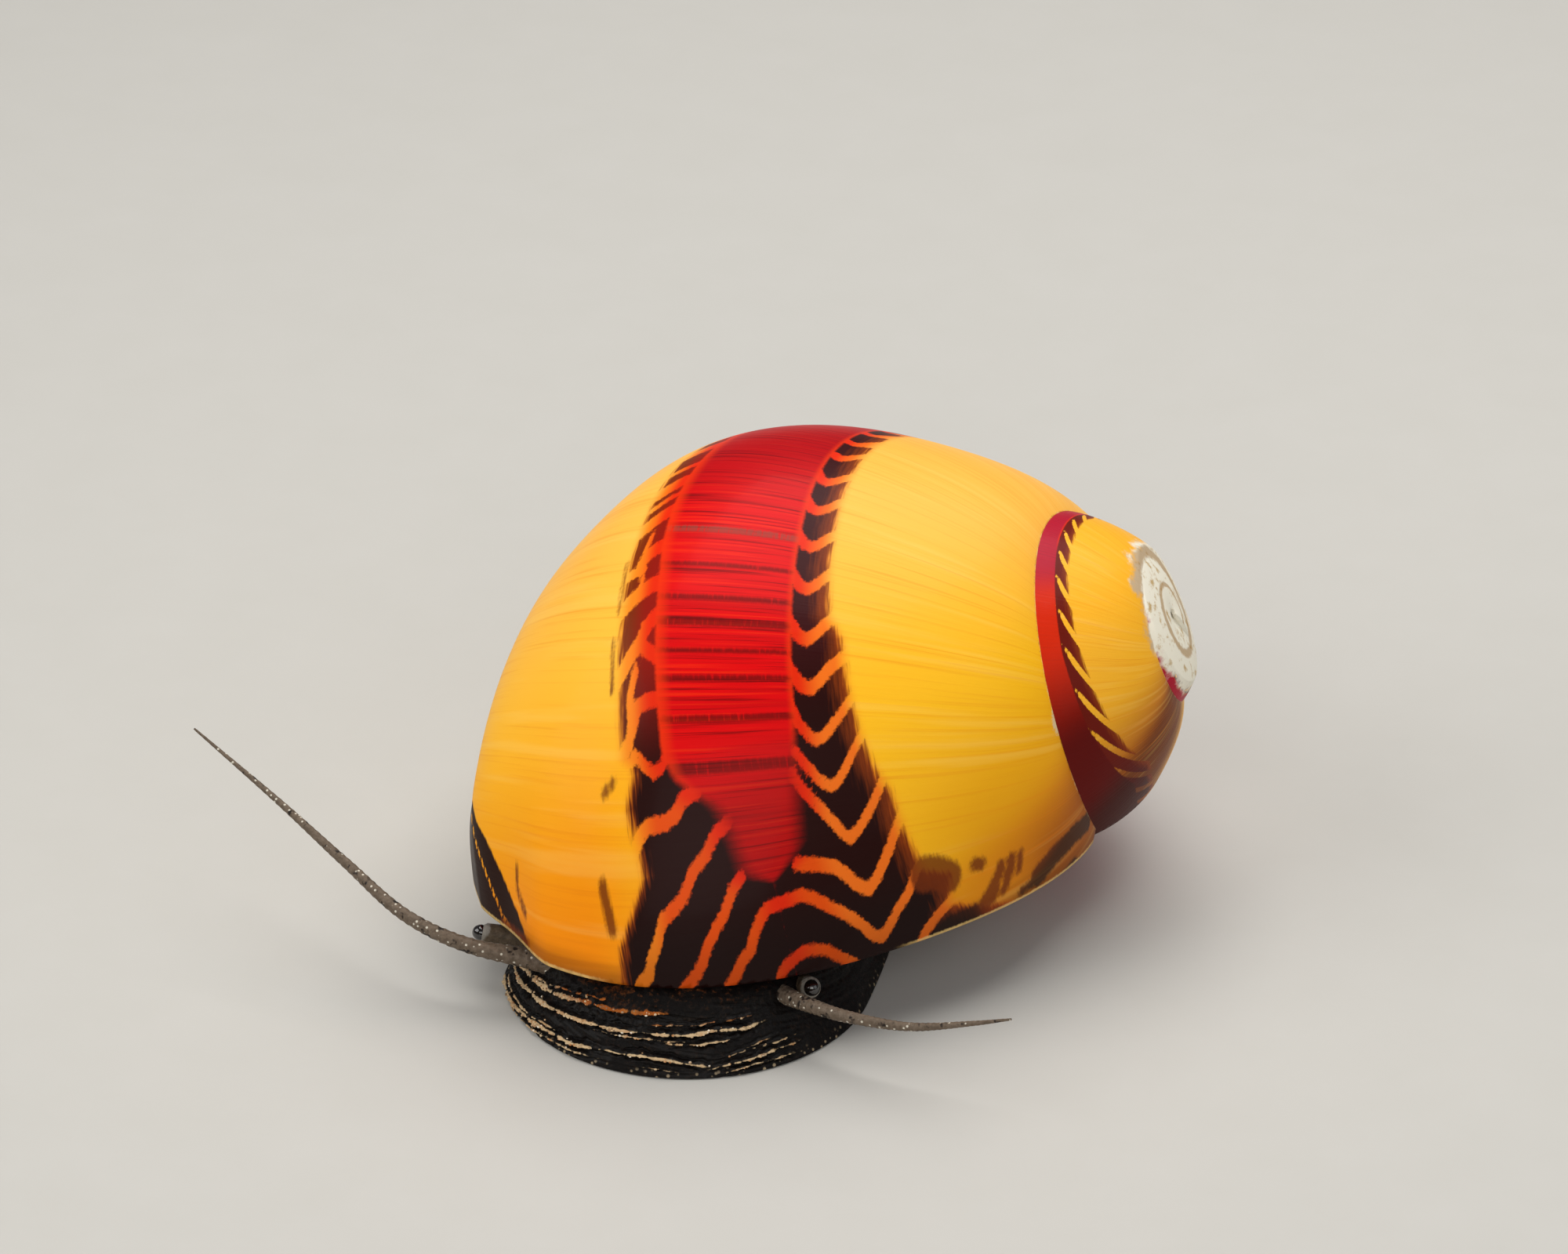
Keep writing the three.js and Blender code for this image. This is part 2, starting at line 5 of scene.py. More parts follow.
import bmesh
import bpy
import numpy as np
from bpy.props import FloatProperty, FloatVectorProperty, IntProperty, PointerProperty
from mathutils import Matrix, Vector


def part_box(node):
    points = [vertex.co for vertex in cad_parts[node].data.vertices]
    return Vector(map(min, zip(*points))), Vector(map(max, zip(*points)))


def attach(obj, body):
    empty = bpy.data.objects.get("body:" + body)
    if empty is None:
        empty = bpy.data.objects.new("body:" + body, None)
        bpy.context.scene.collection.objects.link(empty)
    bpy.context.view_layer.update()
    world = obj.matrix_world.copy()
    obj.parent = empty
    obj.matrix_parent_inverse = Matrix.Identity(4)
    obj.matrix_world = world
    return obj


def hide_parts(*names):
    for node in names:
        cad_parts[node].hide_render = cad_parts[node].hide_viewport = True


bl_info = {
    "name": "Nerite Snail",
    "version": (1, 0, 0),
    "blender": (4, 5, 0),
    "location": "3D View > Sidebar > Snail",
    "description": "Builds a life-size nerite snail around its packed solids",
    "category": "Add Mesh",
}

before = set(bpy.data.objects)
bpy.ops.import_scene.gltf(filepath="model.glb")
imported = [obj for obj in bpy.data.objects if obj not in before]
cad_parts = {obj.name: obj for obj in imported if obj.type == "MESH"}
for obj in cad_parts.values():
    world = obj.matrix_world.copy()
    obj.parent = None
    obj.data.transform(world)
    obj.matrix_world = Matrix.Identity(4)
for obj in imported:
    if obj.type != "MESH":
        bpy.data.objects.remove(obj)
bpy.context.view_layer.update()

MM = 0.001
DEGREE = math.radians(1)

# Points nearer than this, in metres, are one
MERGE_DISTANCE = 1e-7
# Least length that a direction is divided by
TINY = 1e-12

# The shell's spiral, in millimetres and degrees, as in the solids
GROWN_TURN = 180
APEX_POINT = (11.6, 5.96, 8.53)
AXIS_RISE = 25.3
AXIS_TURN = 9.2
SECTION_RADIUS = 6.81
SECTION_DROP = 16.82
SECTION_SQUARENESS = -0.05
SECTION_SKEW = 0.035
BASE_CURVE_REAR = 0.26
BASE_CURVE_LIP = 0.8
BASE_TURN = 90
LIP_TUCK = 0.7
TUCK_START = 0.8
TUCK_TURNS = (50, 80)
AXIS_HOLE = 0.1
# Step round the section that shows which way its surface faces
FACING_STEP = 0.6
# Above this depth below its point the apex is worn down to a share of its height
APEX_WEAR = 1.1
APEX_LEFT = 0.25
LIP_HEIGHT = 2.79
LIP_SLOPE = (0.008, 0.0843)

# Where each stretch of the coil begins, with the turn between its rings
COIL = ((-880, 7), (-593, 2.6), (-229, 2.0), (-40, 0.9), (134, None))
SUTURE = 64
# Places round the section where each stretch of columns begins, with its step: close where the shell shows
COLUMNS = ((SUTURE, 0.8), (-40, 1.5), (-110, 3), (-190, 9), (SUTURE - 356, None))
# First and last turn and place round of the room that hollows the shell, each with its step
ROOM_TURNS = (-10.0, 140.0, 2.0)
ROOM_COLUMNS = (0.0, 360.0, 5.0)
# Size of the blocks that cut the shell along its lip
BLOCK_HALF_WIDTH = 40
BLOCK_HEIGHT = 30
# Depth behind the lip at which its wall is full, and at which the hollow ends
WALL_DEPTH = 1.3
APERTURE_DEPTH = 2.6

# Borders of the shell's marks: at a turn of the coil, the place round the tube's section in degrees
BAND_LEFT = (
    (10, -24), (20, -23.6), (30, -22.4), (45, -21.4), (58, -20.4), (62, -18.5), (65, -15), (68, -11.5),
    (72, -10), (76, -9), (78.5, -8.5), (80.5, -6), (82, -3),
)
BAND_RIGHT = (
    (-900, 3), (-296, 3.5), (-268, 7), (-243, 13), (-225, 18), (-200, 10), (-150, 6.4), (20, 6.4),
    (30, 6.2), (45, 5.8), (58, 5.6), (62, 5.2), (65, 4.8), (68, 4.6), (72, 4.2), (76, 3.6), (78.5, 3.0),
    (80.5, 0), (82, -3),
)
# The dark borders that the band's ladders grow into
DARK_LEFT = (
    (-900, -30), (10, -30.5), (30, -30.5), (45, -29.5), (57, -29), (59, -26.5), (64, -28.5), (70, -27),
    (74, -26.5), (78, -30), (82, -33.5), (86, -34.5), (90, -35),
)
DARK_RIGHT = (
    (-345, 12), (-328, 11), (-296, 13.5), (-268, 18), (-243, 24), (-225, 30), (-200, 22), (-150, 14),
    (30, 13.2), (42, 13.5), (47, 16), (56, 16.5), (64, 17.5), (71, 19), (77, 21.5), (86, 22.5), (94, 24),
    (98, 28.5), (103, 27), (106, 29), (110, 33), (114, 37),
)
# The third dark band, low on the flank, ends at a level place
BASE_BORDER = (
    (-900, -112), (20, -110), (46, -104), (50, -92), (57, -85), (60, -80.5), (66, -74.5), (72, -69),
    (76, -65), (80, -61.5),
)
BASE_END = -108
# Dark growth lines across the band and a paler scar, by half width and turn
BAND_LINES = ((0.8, 64.7), (0.4, 37.3), (0.55, 41.7), (0.3, 46.5), (0.4, 51), (0.45, 57.3), (0.3, 31))
BAND_SCAR = (0.7, 23.6)
# Pale lines that cross the ladders: half width in millimetres, then points of a place round and a turn
LADDER_LINES = (
    (0.30, ((-33, 9), (-29, 7.5), (-25, 5.5), (-21, 4.5))),
    (0.14, ((-31, 2), (-26, 0), (-22, -1))),
    (0.27, ((-32, 18.5), (-27, 15.5), (-24, 14), (-20, 13), (-17, 13))),
    (0.12, ((-30, 12.5), (-25.5, 10), (-22, 9))),
    (0.24, ((-27.5, 25), (-26, 23.3), (-24, 22.4), (-21, 22.2), (-18, 21))),
    (0.16, ((-32, 27.3), (-28, 26.4), (-26.5, 26.2))),
    (0.12, ((-26.6, 19), (-27.4, 23), (-27, 27), (-25.4, 31))),
    (0.25, ((-32, 34.5), (-28.5, 32), (-26, 30.7), (-23, 29.8), (-19, 30.3))),
    (0.24, ((-31, 46), (-29, 44), (-27, 41.5), (-25, 40), (-24, 37.5), (-22, 36), (-19, 35.4))),
    (0.20, ((-25, 40), (-23, 41.6), (-21, 43), (-18, 42.6))),
    (0.20, ((-31, 58.5), (-29, 56.5), (-27, 54.5), (-25.8, 52), (-25.3, 50), (-23, 49.4), (-20, 49.6),
            (-17, 47.4))),
    (0.15, ((-25.6, 44), (-26.8, 48), (-26.6, 52), (-27, 56))),
    (0.15, ((-31, 60), (-28, 58), (-25.5, 57), (-24, 58.6), (-22, 60.3), (-20, 59.4), (-18.5, 57.5),
            (-17, 56.5))),
    (0.19, ((-36, 80), (-34, 79), (-32, 76), (-30, 73.6), (-28, 70.5), (-26, 68), (-24, 67.2), (-21, 67.6),
            (-18.5, 67), (-17, 65.2), (-14, 64.8))),
    (0.17, ((-31, 88), (-28.5, 87), (-27.5, 85), (-26, 83.6), (-25, 82), (-24, 80.4), (-21, 79.3),
            (-19, 78.2), (-17, 75.6), (-14, 74), (-12, 71.8), (-9, 70.6))),
    (0.16, ((-23, 91), (-19.5, 89.4), (-18, 88), (-17, 86.6), (-15.5, 85.2), (-13.5, 83.6), (-12, 82.2),
            (-10.5, 80.2), (-8.5, 79))),
    (0.16, ((-15, 93.5), (-13, 92), (-11.5, 90.6), (-9.5, 89.6), (-8.5, 87.8), (-6.5, 85.8), (-5, 85),
            (-2, 85.4), (1, 85.7), (3, 87.2), (5, 89.4), (8, 92.6), (10, 95.6), (11.5, 98.6), (13, 100),
            (15, 98.8), (17, 97.4), (20, 95.8), (22, 93.6), (24, 92))),
    (0.15, ((-6, 95.8), (-4.5, 94.6), (-1, 94), (1, 94.8), (3, 96), (5, 98.6), (7, 101))),
    (0.17, ((19, 106), (21, 104.6), (24, 103.6), (27, 103), (31, 104))),
)
# Right side of the dark zone: each line falls to a valley and climbs again
VALLEY_LINES = (
    (0.16, ((4.5, 56), (6, 60), (8, 62.8), (9.2, 63.8), (11, 63.2), (14, 61), (18, 57.5))),
    (0.15, ((4.5, 64), (6.5, 67.2), (8.5, 70.2), (10.5, 72), (12, 71.5), (14, 69.6), (16, 67.4), (18.5, 65))),
    (0.16, ((3.2, 67.2), (5, 70.5), (7.5, 74.2), (9.5, 77.4), (11, 80.2), (12, 81.4), (14, 80.6), (16, 79.2),
            (18, 77.4), (20.5, 74.5))),
    (0.18, ((1.5, 81), (5, 82.6), (8, 84.3), (9.5, 86.2), (11, 88.8), (13, 91), (15, 90), (17, 88.2),
            (19, 86.2), (21, 83.8), (23.5, 81))),
)
# Hooks between the round spots of the right ladder: the turn of each valley, and their shape round it
HOOKS = (-1, 8.7, 17.6, 26.8, 36, 45.8, 54.6)
HOOK_SHAPE = ((4.6, -5.0), (6.0, -2.6), (7.4, -0.6), (9.0, 0.2), (10.6, -0.6), (13.0, -2.4), (16.5, -4.2))
HOOK_HALF_WIDTH = 0.2
# The line in the low dark band
BASE_LINE = (0.1, ((-90, 55), (-87, 60), (-83, 65), (-79, 70), (-75, 74.5), (-71, 77)))
# Brown strokes outside the dark zone, by half width
STROKES = (
    (0.5, ((23.5, 94.5), (26, 96), (28, 98.5))),
    (0.2, ((33.4, 100.2), (34.6, 101))),
    (0.2, ((35.5, 107.5), (37.5, 106), (38.2, 105))),
    (0.2, ((38.5, 108.5), (40, 107), (40.6, 105.6))),
    (0.13, ((41, 109.6), (42, 108), (42.6, 106.6))),
    (0.16, ((36.8, 110.4), (38, 109.6))),
    (0.3, ((32, 110), (34, 109), (35, 108.4))),
    (0.34, ((24, 107), (27.5, 108.4), (31, 110))),
    (0.16, ((40, 115), (42.5, 116))),
    (0.42, ((44.5, 116), (49.5, 116.6), (56, 120), (61, 125))),
    (0.3, ((44, 123), (52, 127))),
    (0.13, ((-65, 66.8), (-66, 70), (-64, 72.6), (-62.4, 74))),
    (0.2, ((-35.6, 73.2), (-34.8, 79))),
    (0.1, ((-33.4, 60.6), (-31, 59.6))),
    (0.07, ((-31.6, 38), (-31.2, 46))),
    (0.06, ((-31.6, 24), (-31.4, 33))),
    (0.12, ((-62, 79), (-76, 75.5))),
)
# Behind the drawn stretch the ladders repeat, with longer steps on the small whorls
DRAWN_TURN = -4
DRAWN_BOTTOM = -125
RUNG_TURNS = (-240, -20)
RUNG_STEPS = (14, 9)
# Each rung is a peak: where it turns on either side of the band, and how far its arms lean per degree
RUNG_SPLIT = -8
RIGHT_RUNG = (9, 0.06)
LEFT_RUNG = (-25, 0.05)
# Share of a step that a gap takes on either side, and how it widens away from these places on the right
LEFT_GAP = 0.23
RIGHT_GAP = 0.13
OUTER_GAP = (9, 0.035)
INNER_GAP = (7, 0.03)
# On the spire the spots are slanting teeth
TOOTH_END = -200
TOOTH_STEP = 14.5
TOOTH_TURN = 321.5
TOOTH_SLANT = 1.6
TOOTH_ROOT = 8
TOOTH_GAPS = (0.02, 0.17)
TOOTH_SHARES = (0.25, 0.6)
# Millimetres on the shell for one degree round the section and round the coil
DEGREE_AROUND = 0.2
DEGREE_TURN = 0.157
# Distance from a mark that counts as far
FAR = 9.0

# How growth lines lean back per degree round the section, and bend on the right
LINE_LEAN = 0.22
LINE_BEND = 0.0035
# Noises on the shell: two readings, each with its scale, then a seed, the detail and the roughness
NOISES = {
    "fine": ("growth", 1.35, "around", 0.014, 0.0, 4.0, 0.62),
    "broad": ("growth", 0.3, "around", 0.012, 7.0, 3.0, 0.55),
    "brush": ("around", 1.5, "turn", 0.14, 3.0, 2.0, 0.6),
    "stair": ("turn", 1.6, "around", 1.1, 11.0, 2.0, 0.6),
}
# Ragged readings: another reading and the noise that moves it, with how far it does
RAGGED = (
    ("bent_growth", "growth", "brush", 0.5),
    ("zone_rim", "zone", "brush", 1.1),
    ("zone_edge", "zone", "brush", 0.7),
    ("rung_edge", "line", "stair", 0.2),
    ("low_edge", "base", "brush", 0.3),
    ("low_line", "line", "stair", 0.12),
    ("brushed_stroke", "stroke", "brush", 0.2),
    ("stroke_edge", "brushed_stroke", "stair", 0.14),
    ("band_edge", "band", "stair", 0.12),
    ("band_rim", "band", "fine", 0.4),
    ("cloudy_lip", "above_lip", "broad", 0.8),
    ("lip_edge", "above_lip", "brush", 0.08),
    ("suture_edge", "around", "stair", 2.0),
    ("chip_edge", "chip", "stair", 3.0),
)
LEFT_SIDE = ("around", -10, -20)
# Washes over a colour: strength, colour on a screen or a setting's name, then the ramps that lay it on.
# A ramp names a reading and says where it is 0 and where it is 1.
GROUND_WASHES = (
    (1, "flank", ("turn", 5, 70)),
    (1, "low_orange", ("turn", 35, 85), ("around", -10, -42)),
    (0.8, (222, 146, 10), ("turn", 60, 105), ("around", 10, 40)),
    # Low on the right of the body whorl by the suture: partly the shell's own brown, partly painted shade
    (0.85, (104, 56, 12), ("turn", 98, 116), ("around", 34, 50)),
    (0.5, (200, 98, 8), ("turn", 92, 106), ("around", 12, 22)),
    (0.7, (248, 178, 12), ("turn", -225, -260)),
    # Towards the lower end of the spire's visible stretch the ground darkens: partly its own brown, partly
    # painted shade
    (1, (176, 92, 8), ("turn", -275, -232), ("turn", -190, -215)),
    (0.8, (92, 40, 10), ("turn", -247, -232), ("turn", -190, -215)),
    (0.36, (228, 122, 10), ("fine", 0.5, 0.74)),
    (0.16, (255, 218, 118), ("broad", 0.5, 0.7)),
    # Painted shade along the lip's last stretch, where the dark body shows through it
    (0.7, (120, 62, 8), ("cloudy_lip", 0.75, 0.1)),
)
# Lines that cross the ladders are orange, redder beside the band and darker towards the lip
RED_LINE = (226, 78, 8)
LINE_WASHES = (
    (1, "line_orange", ("around", 4, 9)),
    (1, (240, 130, 26), ("around", -22, -27)),
    (1, (222, 40, 5), ("band", 1.2, 0.1)),
    (0.45, (128, 54, 10), ("above_lip", 2.0, 0)),
)
LINES_SHOW = (("zone", 0.35, -0.5), ("turn", -215, -190))
# Dark zone: black-brown towards the lip, redder further up, brown where its rim is brushed out
RIGHT_DARK = (56, 8, 10)
LEFT_DARK = (140, 20, 6)
LEFT_DARK_WASHES = ((1, (116, 44, 8), ("zone", -1.3, -0.2)),)
DARK_WASHES = (
    (1, "zone_dark", ("turn", 38, 62)),
    (1, (104, 22, 9), ("turn", -190, -205)),
    (0.6, (16, 8, 7), ("above_lip", 3.0, 0.6)),
)
BRUSHED_RIM = (140, 58, 12)
RIM_STARTS = (-1.0, -0.5)
RIM_END = 0.15
DARK_SHOWS = (("zone_edge", 0.14, -0.22), ("rung_edge", -0.05, 0.05))
LOW_DARK_WASH = (1, (38, 16, 9), ("low_edge", 0.12, -0.1), ("low_line", -0.04, 0.04))
STROKE_BROWN = (110, 44, 9)
STROKE_WASHES = (
    (1, (34, 17, 11), ("turn", 111, 117)),
    (1, (34, 17, 11), ("around", 33, 30), ("turn", 103, 106)),
)
STROKES_SHOW = ("stroke_edge", 0.14, -0.1)
STROKE_STRENGTH = 0.88
# The band: streaked along its growth lines, orange where the ladders start, dark where it ends
STREAK_WASHES = (
    (1, "band_dark", ("fine", 0.5, 0.66)),
    (0.7, (232, 40, 8), ("fine", 0.46, 0.36)),
)
BAND_LINE_WASH = (0.75, (84, 5, 4), ("brush", 0.15, 0.5))
BAND_LINE_BLUR = (0.45, -0.25)
BAND_SCAR_WASH = (0.65, (128, 66, 54), ("brush", 0.3, 0.45))
BAND_SCAR_BLUR = (0.25, -0.25)
BAND_WASHES = (
    (0.6, (140, 2, 16), ("turn", 22, -5)),
    (0.35, (158, 3, 10), ("broad", 0.46, 0.7)),
    (0.5, (136, 10, 4), ("turn", 56, 72)),
    (0.8, (216, 46, 8), ("turn", -335, -318), ("turn", -180, -200)),
    # The band darkens to maroon and brown at the lower end of the spire's visible stretch: partly its own
    # colour, partly painted shade
    (1, (92, 9, 5), ("turn", -302, -262), ("turn", -180, -200)),
    (0.7, (48, 18, 10), ("turn", -245, -228), ("turn", -180, -200)),
    (0.6, (176, 30, 60), ("turn", -318, -335)),
)
BAND_RIM = (230, 52, 6)
BAND_RIM_STRENGTH = 0.8
BAND_RIM_STARTS = (-0.35, -0.75)
BAND_RIM_GAP = (("turn", -352, -340), ("turn", -180, -200))
# Where the band's edge starts and ends, and how its fading moves both
BAND_EDGE = (0.06, -0.12)
BAND_EDGE_FADES = (0.25, -0.5)
BAND_FADES = ("turn", 56, 72)
BAND_FADES_OUT = ("turn", 84, 78)
# The lip's very edge is pale, the suture nibbled, with a pale chip beside it
EDGE_WASHES = (
    (0.75, (226, 190, 120), ("lip_edge", 0.11, 0.04), ("around", -36, -44)),
    (0.75, (226, 190, 120), ("lip_edge", 0.11, 0.04), ("around", 14, 20)),
)
NIBBLED = ("suture_edge", 61.8, 62.8)
NIBBLED_STRENGTH = 0.6
NIBBLED_BROWN = (120, 62, 20)
NIBBLED_WASHES = ((1, (232, 206, 160), ("brush", 0.45, 0.6)),)
CHIP_PLACE = (38.5, 63.0, 0.0)
CHIP_TURN_SCALE = 0.45
CHIP_WASH = (1, (222, 196, 150), ("chip_edge", 2.4, 1.4))
# The oldest whorls are worn to chalky white
WORN = ("wear", 2.62, 2.3)
SEAM = ("seam", 7, 3)
SEAM_PLACE = 56
CHALK_WASHES = ((1, (196, 166, 116), ("pits", 0.52, 0.68)), (0.7, (172, 132, 76), SEAM))
# Depths of the bumps, in metres
BUMP = 0.00002
SKIN_BUMP = 0.00005

# The foot and head, in millimetres, as in the solids but with less gap under the lip
LIP_GAP = 0.2
SOLE_CENTRE = (-0.52, -3.42)
SOLE_RADIUS = 5.05
SOLE_TAIL = 11.6
TAIL_SHIFT = 1.2
FRONT_INSET = 1.05
FLANK_INSET = 2.2
TAIL_INSET = 1.3
BACK_HEIGHT = 1.75
TAIL_HEIGHT = 0.8
NECK_END = 2.6
TAIL_END = 8
WALL_CURVE = 1.2
SHOULDER = 0.72
ROUNDING = 0.1
FRONT_SIDES = 420
REAR_SIDES = 120
# Shares of the height: the wall's rows between two of them, then those of its rounded top
WALL_ROWS = 84
WALL_SHARES = (0.02, 0.9)
TOP_SHARES = (0.93, 0.96, 0.98, 1.0)
TOP_INSET = 0.36
# Lumps of the wall: their size low and high on it, and the shares between which they grow
LUMPS = (0.3, 1.2)
LUMPS_GROW = (0.7, 0.95)
LUMPS_START = (0.1, 0.4)
# Rings of the back, by share of its outline, each with its lift in front of the shell's mouth
BACK_RINGS = ((0.85, 0.1), (0.7, 0.5), (0.4, 0.6), (0.15, 0.6))
BACK_LIFT = (2.0, -1.0)
FEELER_PATHS = {
    "left": ((-3.4, -5.5, 1.3), (-5.86, -6.35, 1.98), (-7.72, -6.02, 2.4), (-9.9, -4.76, 3.05),
             (-12.12, -3.39, 3.72), (-15.1, -2.0, 4.9)),
    "right": ((2.0, -5.2, 1.3), (3.84, -6.47, 1.7), (4.8, -6.85, 1.8), (6.62, -7.2, 2.0), (8.4, -7.35, 2.5),
              (9.5, -7.65, 3.0)),
}
EYE_PLACES = {"left": (-5.96, -5.06, 1.6), "right": (3.45, -5.38, 1.58)}
STALK_ROOTS = {"left": (-3.7, -4.6, 1.2), "right": (2.7, -4.5, 1.0)}
# Radius of a stalk at shares of its length, which ends just past the middle of its eye
STALK_PROFILE = ((0, 0.5), (0.4, 0.38), (0.8, 0.31), (0.93, 0.29), (1, 0.16))
STALK_ROWS = 14
STALK_SIDES = 24
STALK_PAST_EYE = 0.05
# Points along a feeler, its sides, and how its taper bends, its flare falls off and its rings swell it
FEELER_POINTS = 150
FEELER_SIDES = 18
FEELER_TAPER = 0.9
FLARE_FALL = 20.0
FEELER_RINGS = (320.0, 0.06)
# Steps between two given points of a smooth path
PATH_STEPS = 20
# An eye's rows, and the bulge of its pupil between two places along it
EYE_ROWS = 34
EYE_BROWN = (34, 26, 22)
PUPIL_BULGE = 0.05
PUPIL_EDGE = (0.55, 0.8)
# Pale ridges of the snout: half width, strength, and shares of the height at degrees round the margin
RIDGES = (
    (0.050, 0.85, ((-165, 0.32), (-135, 0.55), (-115, 0.73), (-95, 0.83), (-80, 0.86))),
    (0.024, 0.6, ((-150, 0.46), (-130, 0.66), (-112, 0.84), (-100, 0.93))),
    (0.030, 1.2, ((-168, 0.22), (-156, 0.28), (-132, 0.41), (-116, 0.51), (-102, 0.55), (-90, 0.60))),
    (0.030, 1.1, ((-90, 0.60), (-77, 0.58), (-67, 0.61), (-55, 0.57), (-47, 0.57))),
    (0.018, 0.75, ((-110, 0.47), (-98, 0.51), (-88, 0.52), (-74, 0.50))),
    (0.020, 0.85, ((-84, 0.50), (-72, 0.46), (-62, 0.47), (-56, 0.50))),
    (0.018, 0.55, ((-68, 0.68), (-58, 0.70), (-48, 0.68))),
    (0.030, 1.2, ((-168, 0.02), (-160, 0.04), (-143, 0.10), (-127, 0.17), (-114, 0.21), (-103, 0.26))),
    (0.028, 1.1, ((-103, 0.26), (-89, 0.31), (-79, 0.26), (-68, 0.17))),
    (0.018, 0.8, ((-165, 0.10), (-150, 0.14), (-135, 0.19), (-118, 0.26))),
    (0.022, 0.7, ((-150, 0.02), (-135, 0.05), (-123, 0.10), (-112, 0.12), (-100, 0.14))),
    (0.022, 0.9, ((-70, 0.13), (-58, 0.20), (-47, 0.23), (-36, 0.22))),
    (0.018, 0.8, ((-64, 0.08), (-54, 0.13), (-46, 0.12), (-38, 0.11))),
    (0.016, 0.5, ((-95, 0.14), (-84, 0.15), (-74, 0.10))),
    (0.016, 0.7, ((-58, 0.34), (-50, 0.37), (-42, 0.38))),
    (0.016, 0.6, ((-66, 0.28), (-54, 0.31), (-44, 0.30), (-34, 0.31))),
    (0.018, 0.6, ((-92, 0.70), (-80, 0.72), (-70, 0.69), (-60, 0.72))),
)
SKIN_NODES = (
    "mantle_edge", "head_snout", "foot_front", "foot_tail",
    "tentacle_left_base", "tentacle_left_middle", "tentacle_left_tip",
    "tentacle_right_base", "tentacle_right_middle", "tentacle_right_tip",
    "eyestalk_left", "eyestalk_right",
)
# Degrees past a ridge's ends over which it fades, and how far its middle wavers
RIDGE_STARTS = (-5, 9)
RIDGE_ENDS = (6, -10)
RIDGE_WAVER = 0.012
# Waves that bead a ridge: rate, seed and size of each, round a middle size and within limits
BEAD_SIZE = 0.8
BEAD_WAVES = ((7, 9, 0.45), (31, 4, 0.4))
BEAD_LIMITS = (0.1, 1.2)
# Waves that widen and narrow a ridge
WIDTH_SIZE = 0.66
WIDTH_WAVE = (11, 2, 0.3)
# Place and width of the grooves beside a ridge in half widths, their depth, and the crest that hides them
GROOVE_PLACE = 2.6
GROOVE_WIDTH = 1.2
GROOVE_DEPTH = 0.95
GROOVE_LIMIT = 0.3
# Rate and size of the waves that a slow, uneven wave is made of
WAVES = ((3, 0.5), (7, 0.28), (13, 0.16), (29, 0.09))
# The second number that each corner of the skin carries: below 1 the flank's height, then these
BACK_MARK = 1.1
FEELER_MARK = 2
STALK_MARK = 4
MANTLE_MARK = 6
# Pale grains: most in a square metre, where a ridge carries them, how low they start, and their sizes
GRAIN_DENSITY = 6e8
GRAIN_RIDGE = (0.3, 0.85)
GRAIN_HEIGHT = (0.1, 0.16)
GRAIN_SIZES = (0.4, 1.25)
GRAIN_STRETCH = (1.2, 1.0, 0.8)

# Washes of the skin, laid on as those of the shell
FLESH_WASHES = ((1, (40, 29, 21), ("fine", 0.5, 0.8)),)
RIDGE_WASHES = (
    (1, "tan", ("wavy_share", 0.62, 0.74)),
    (0.7, (176, 112, 52), ("coarse", 0.5, 0.7)),
    (0.6, (112, 80, 50), ("fine", 0.52, 0.66)),
)
RIDGES_SHOW = ("broken_ridge", 0.26, 0.55)
FOOT_WASHES = (
    (0.7, (112, 62, 24), ("share", 0.8, 1.0), ("mottle", 1.02, 1.3)),
    (0.8, (172, 152, 122), ("share", 0.16, 0.02), ("cells", 0.32, 0.18)),
)
FEELER_WASHES = (
    (1, (112, 98, 84), ("fine", 0.3, 0.7)),
    (1, (206, 200, 184), ("cells", 0.24, 0.12)),
    (1, (38, 32, 28), ("spots", 0.58, 0.68)),
)
STALK_DARK = (44, 36, 30)
STALK_PALE = (118, 102, 82)
LAST_SKIN_WASHES = (
    # A pale crescent on the stalk round each eye is a painted highlight
    (0.6, (158, 154, 146), ("painted_eye_highlight", 0.36, 0.3)),
    (1, (14, 12, 12), ("share", MANTLE_MARK - 1, MANTLE_MARK)),
)
SHADED = (("share", 0.72, 0.95), ("share", 1.9, 1.5))
GRAIN_WASHES = (
    (1, (186, 122, 62), ("tint", 0.42, 0.62)),
    (0.7, (92, 62, 40), ("patches", 0.5, 0.62)),
    # A few grains are turned near white as painted glints
    (0.8, (238, 230, 212), ("sparks", 0.56, 0.62)),
)

# The deck and the lid
DECK_WASHES = (
    (1, (240, 234, 216), ("cloud", 0.35, 0.7)),
    (0.4, (214, 176, 104), ("grain", 0.55, 0.8)),
)
DECK_EASE = 0.6
DECK_EASE_STEPS = 4
LID_DARK = (46, 30, 22)
LID_WASHES = ((0.6, (28, 20, 18), ("grain", 0.4, 0.7)),)
# Points of the lid's round and straight edges, and its rings on each face from their smallest share
LID_ARC_POINTS = 60
LID_CHORD_POINTS = 42
LID_RINGS = 46
LID_FIRST_RING = 0.03
# Where the lid's rings begin, in half widths and lengths, and how its ribs follow each other and start
LID_NUCLEUS = (0.55, 0.12)
LID_RIB_RATE = 75
LID_RIBS_START = (0.1, 0.3)
# The lid's edge is rounded by a steep power, and leaves room for the ribs
LID_EDGE_POWER = 8
LID_FACE = 0.86

# The stage: what the camera looks at, its sensor in millimetres, and its nearest sight in metres
LOOK_AT = Vector((0.5, 2.75, 7.83)) * MM
SENSOR = 36
NEAREST = 0.01
FLOOR_GRAIN = (194, 192, 187)
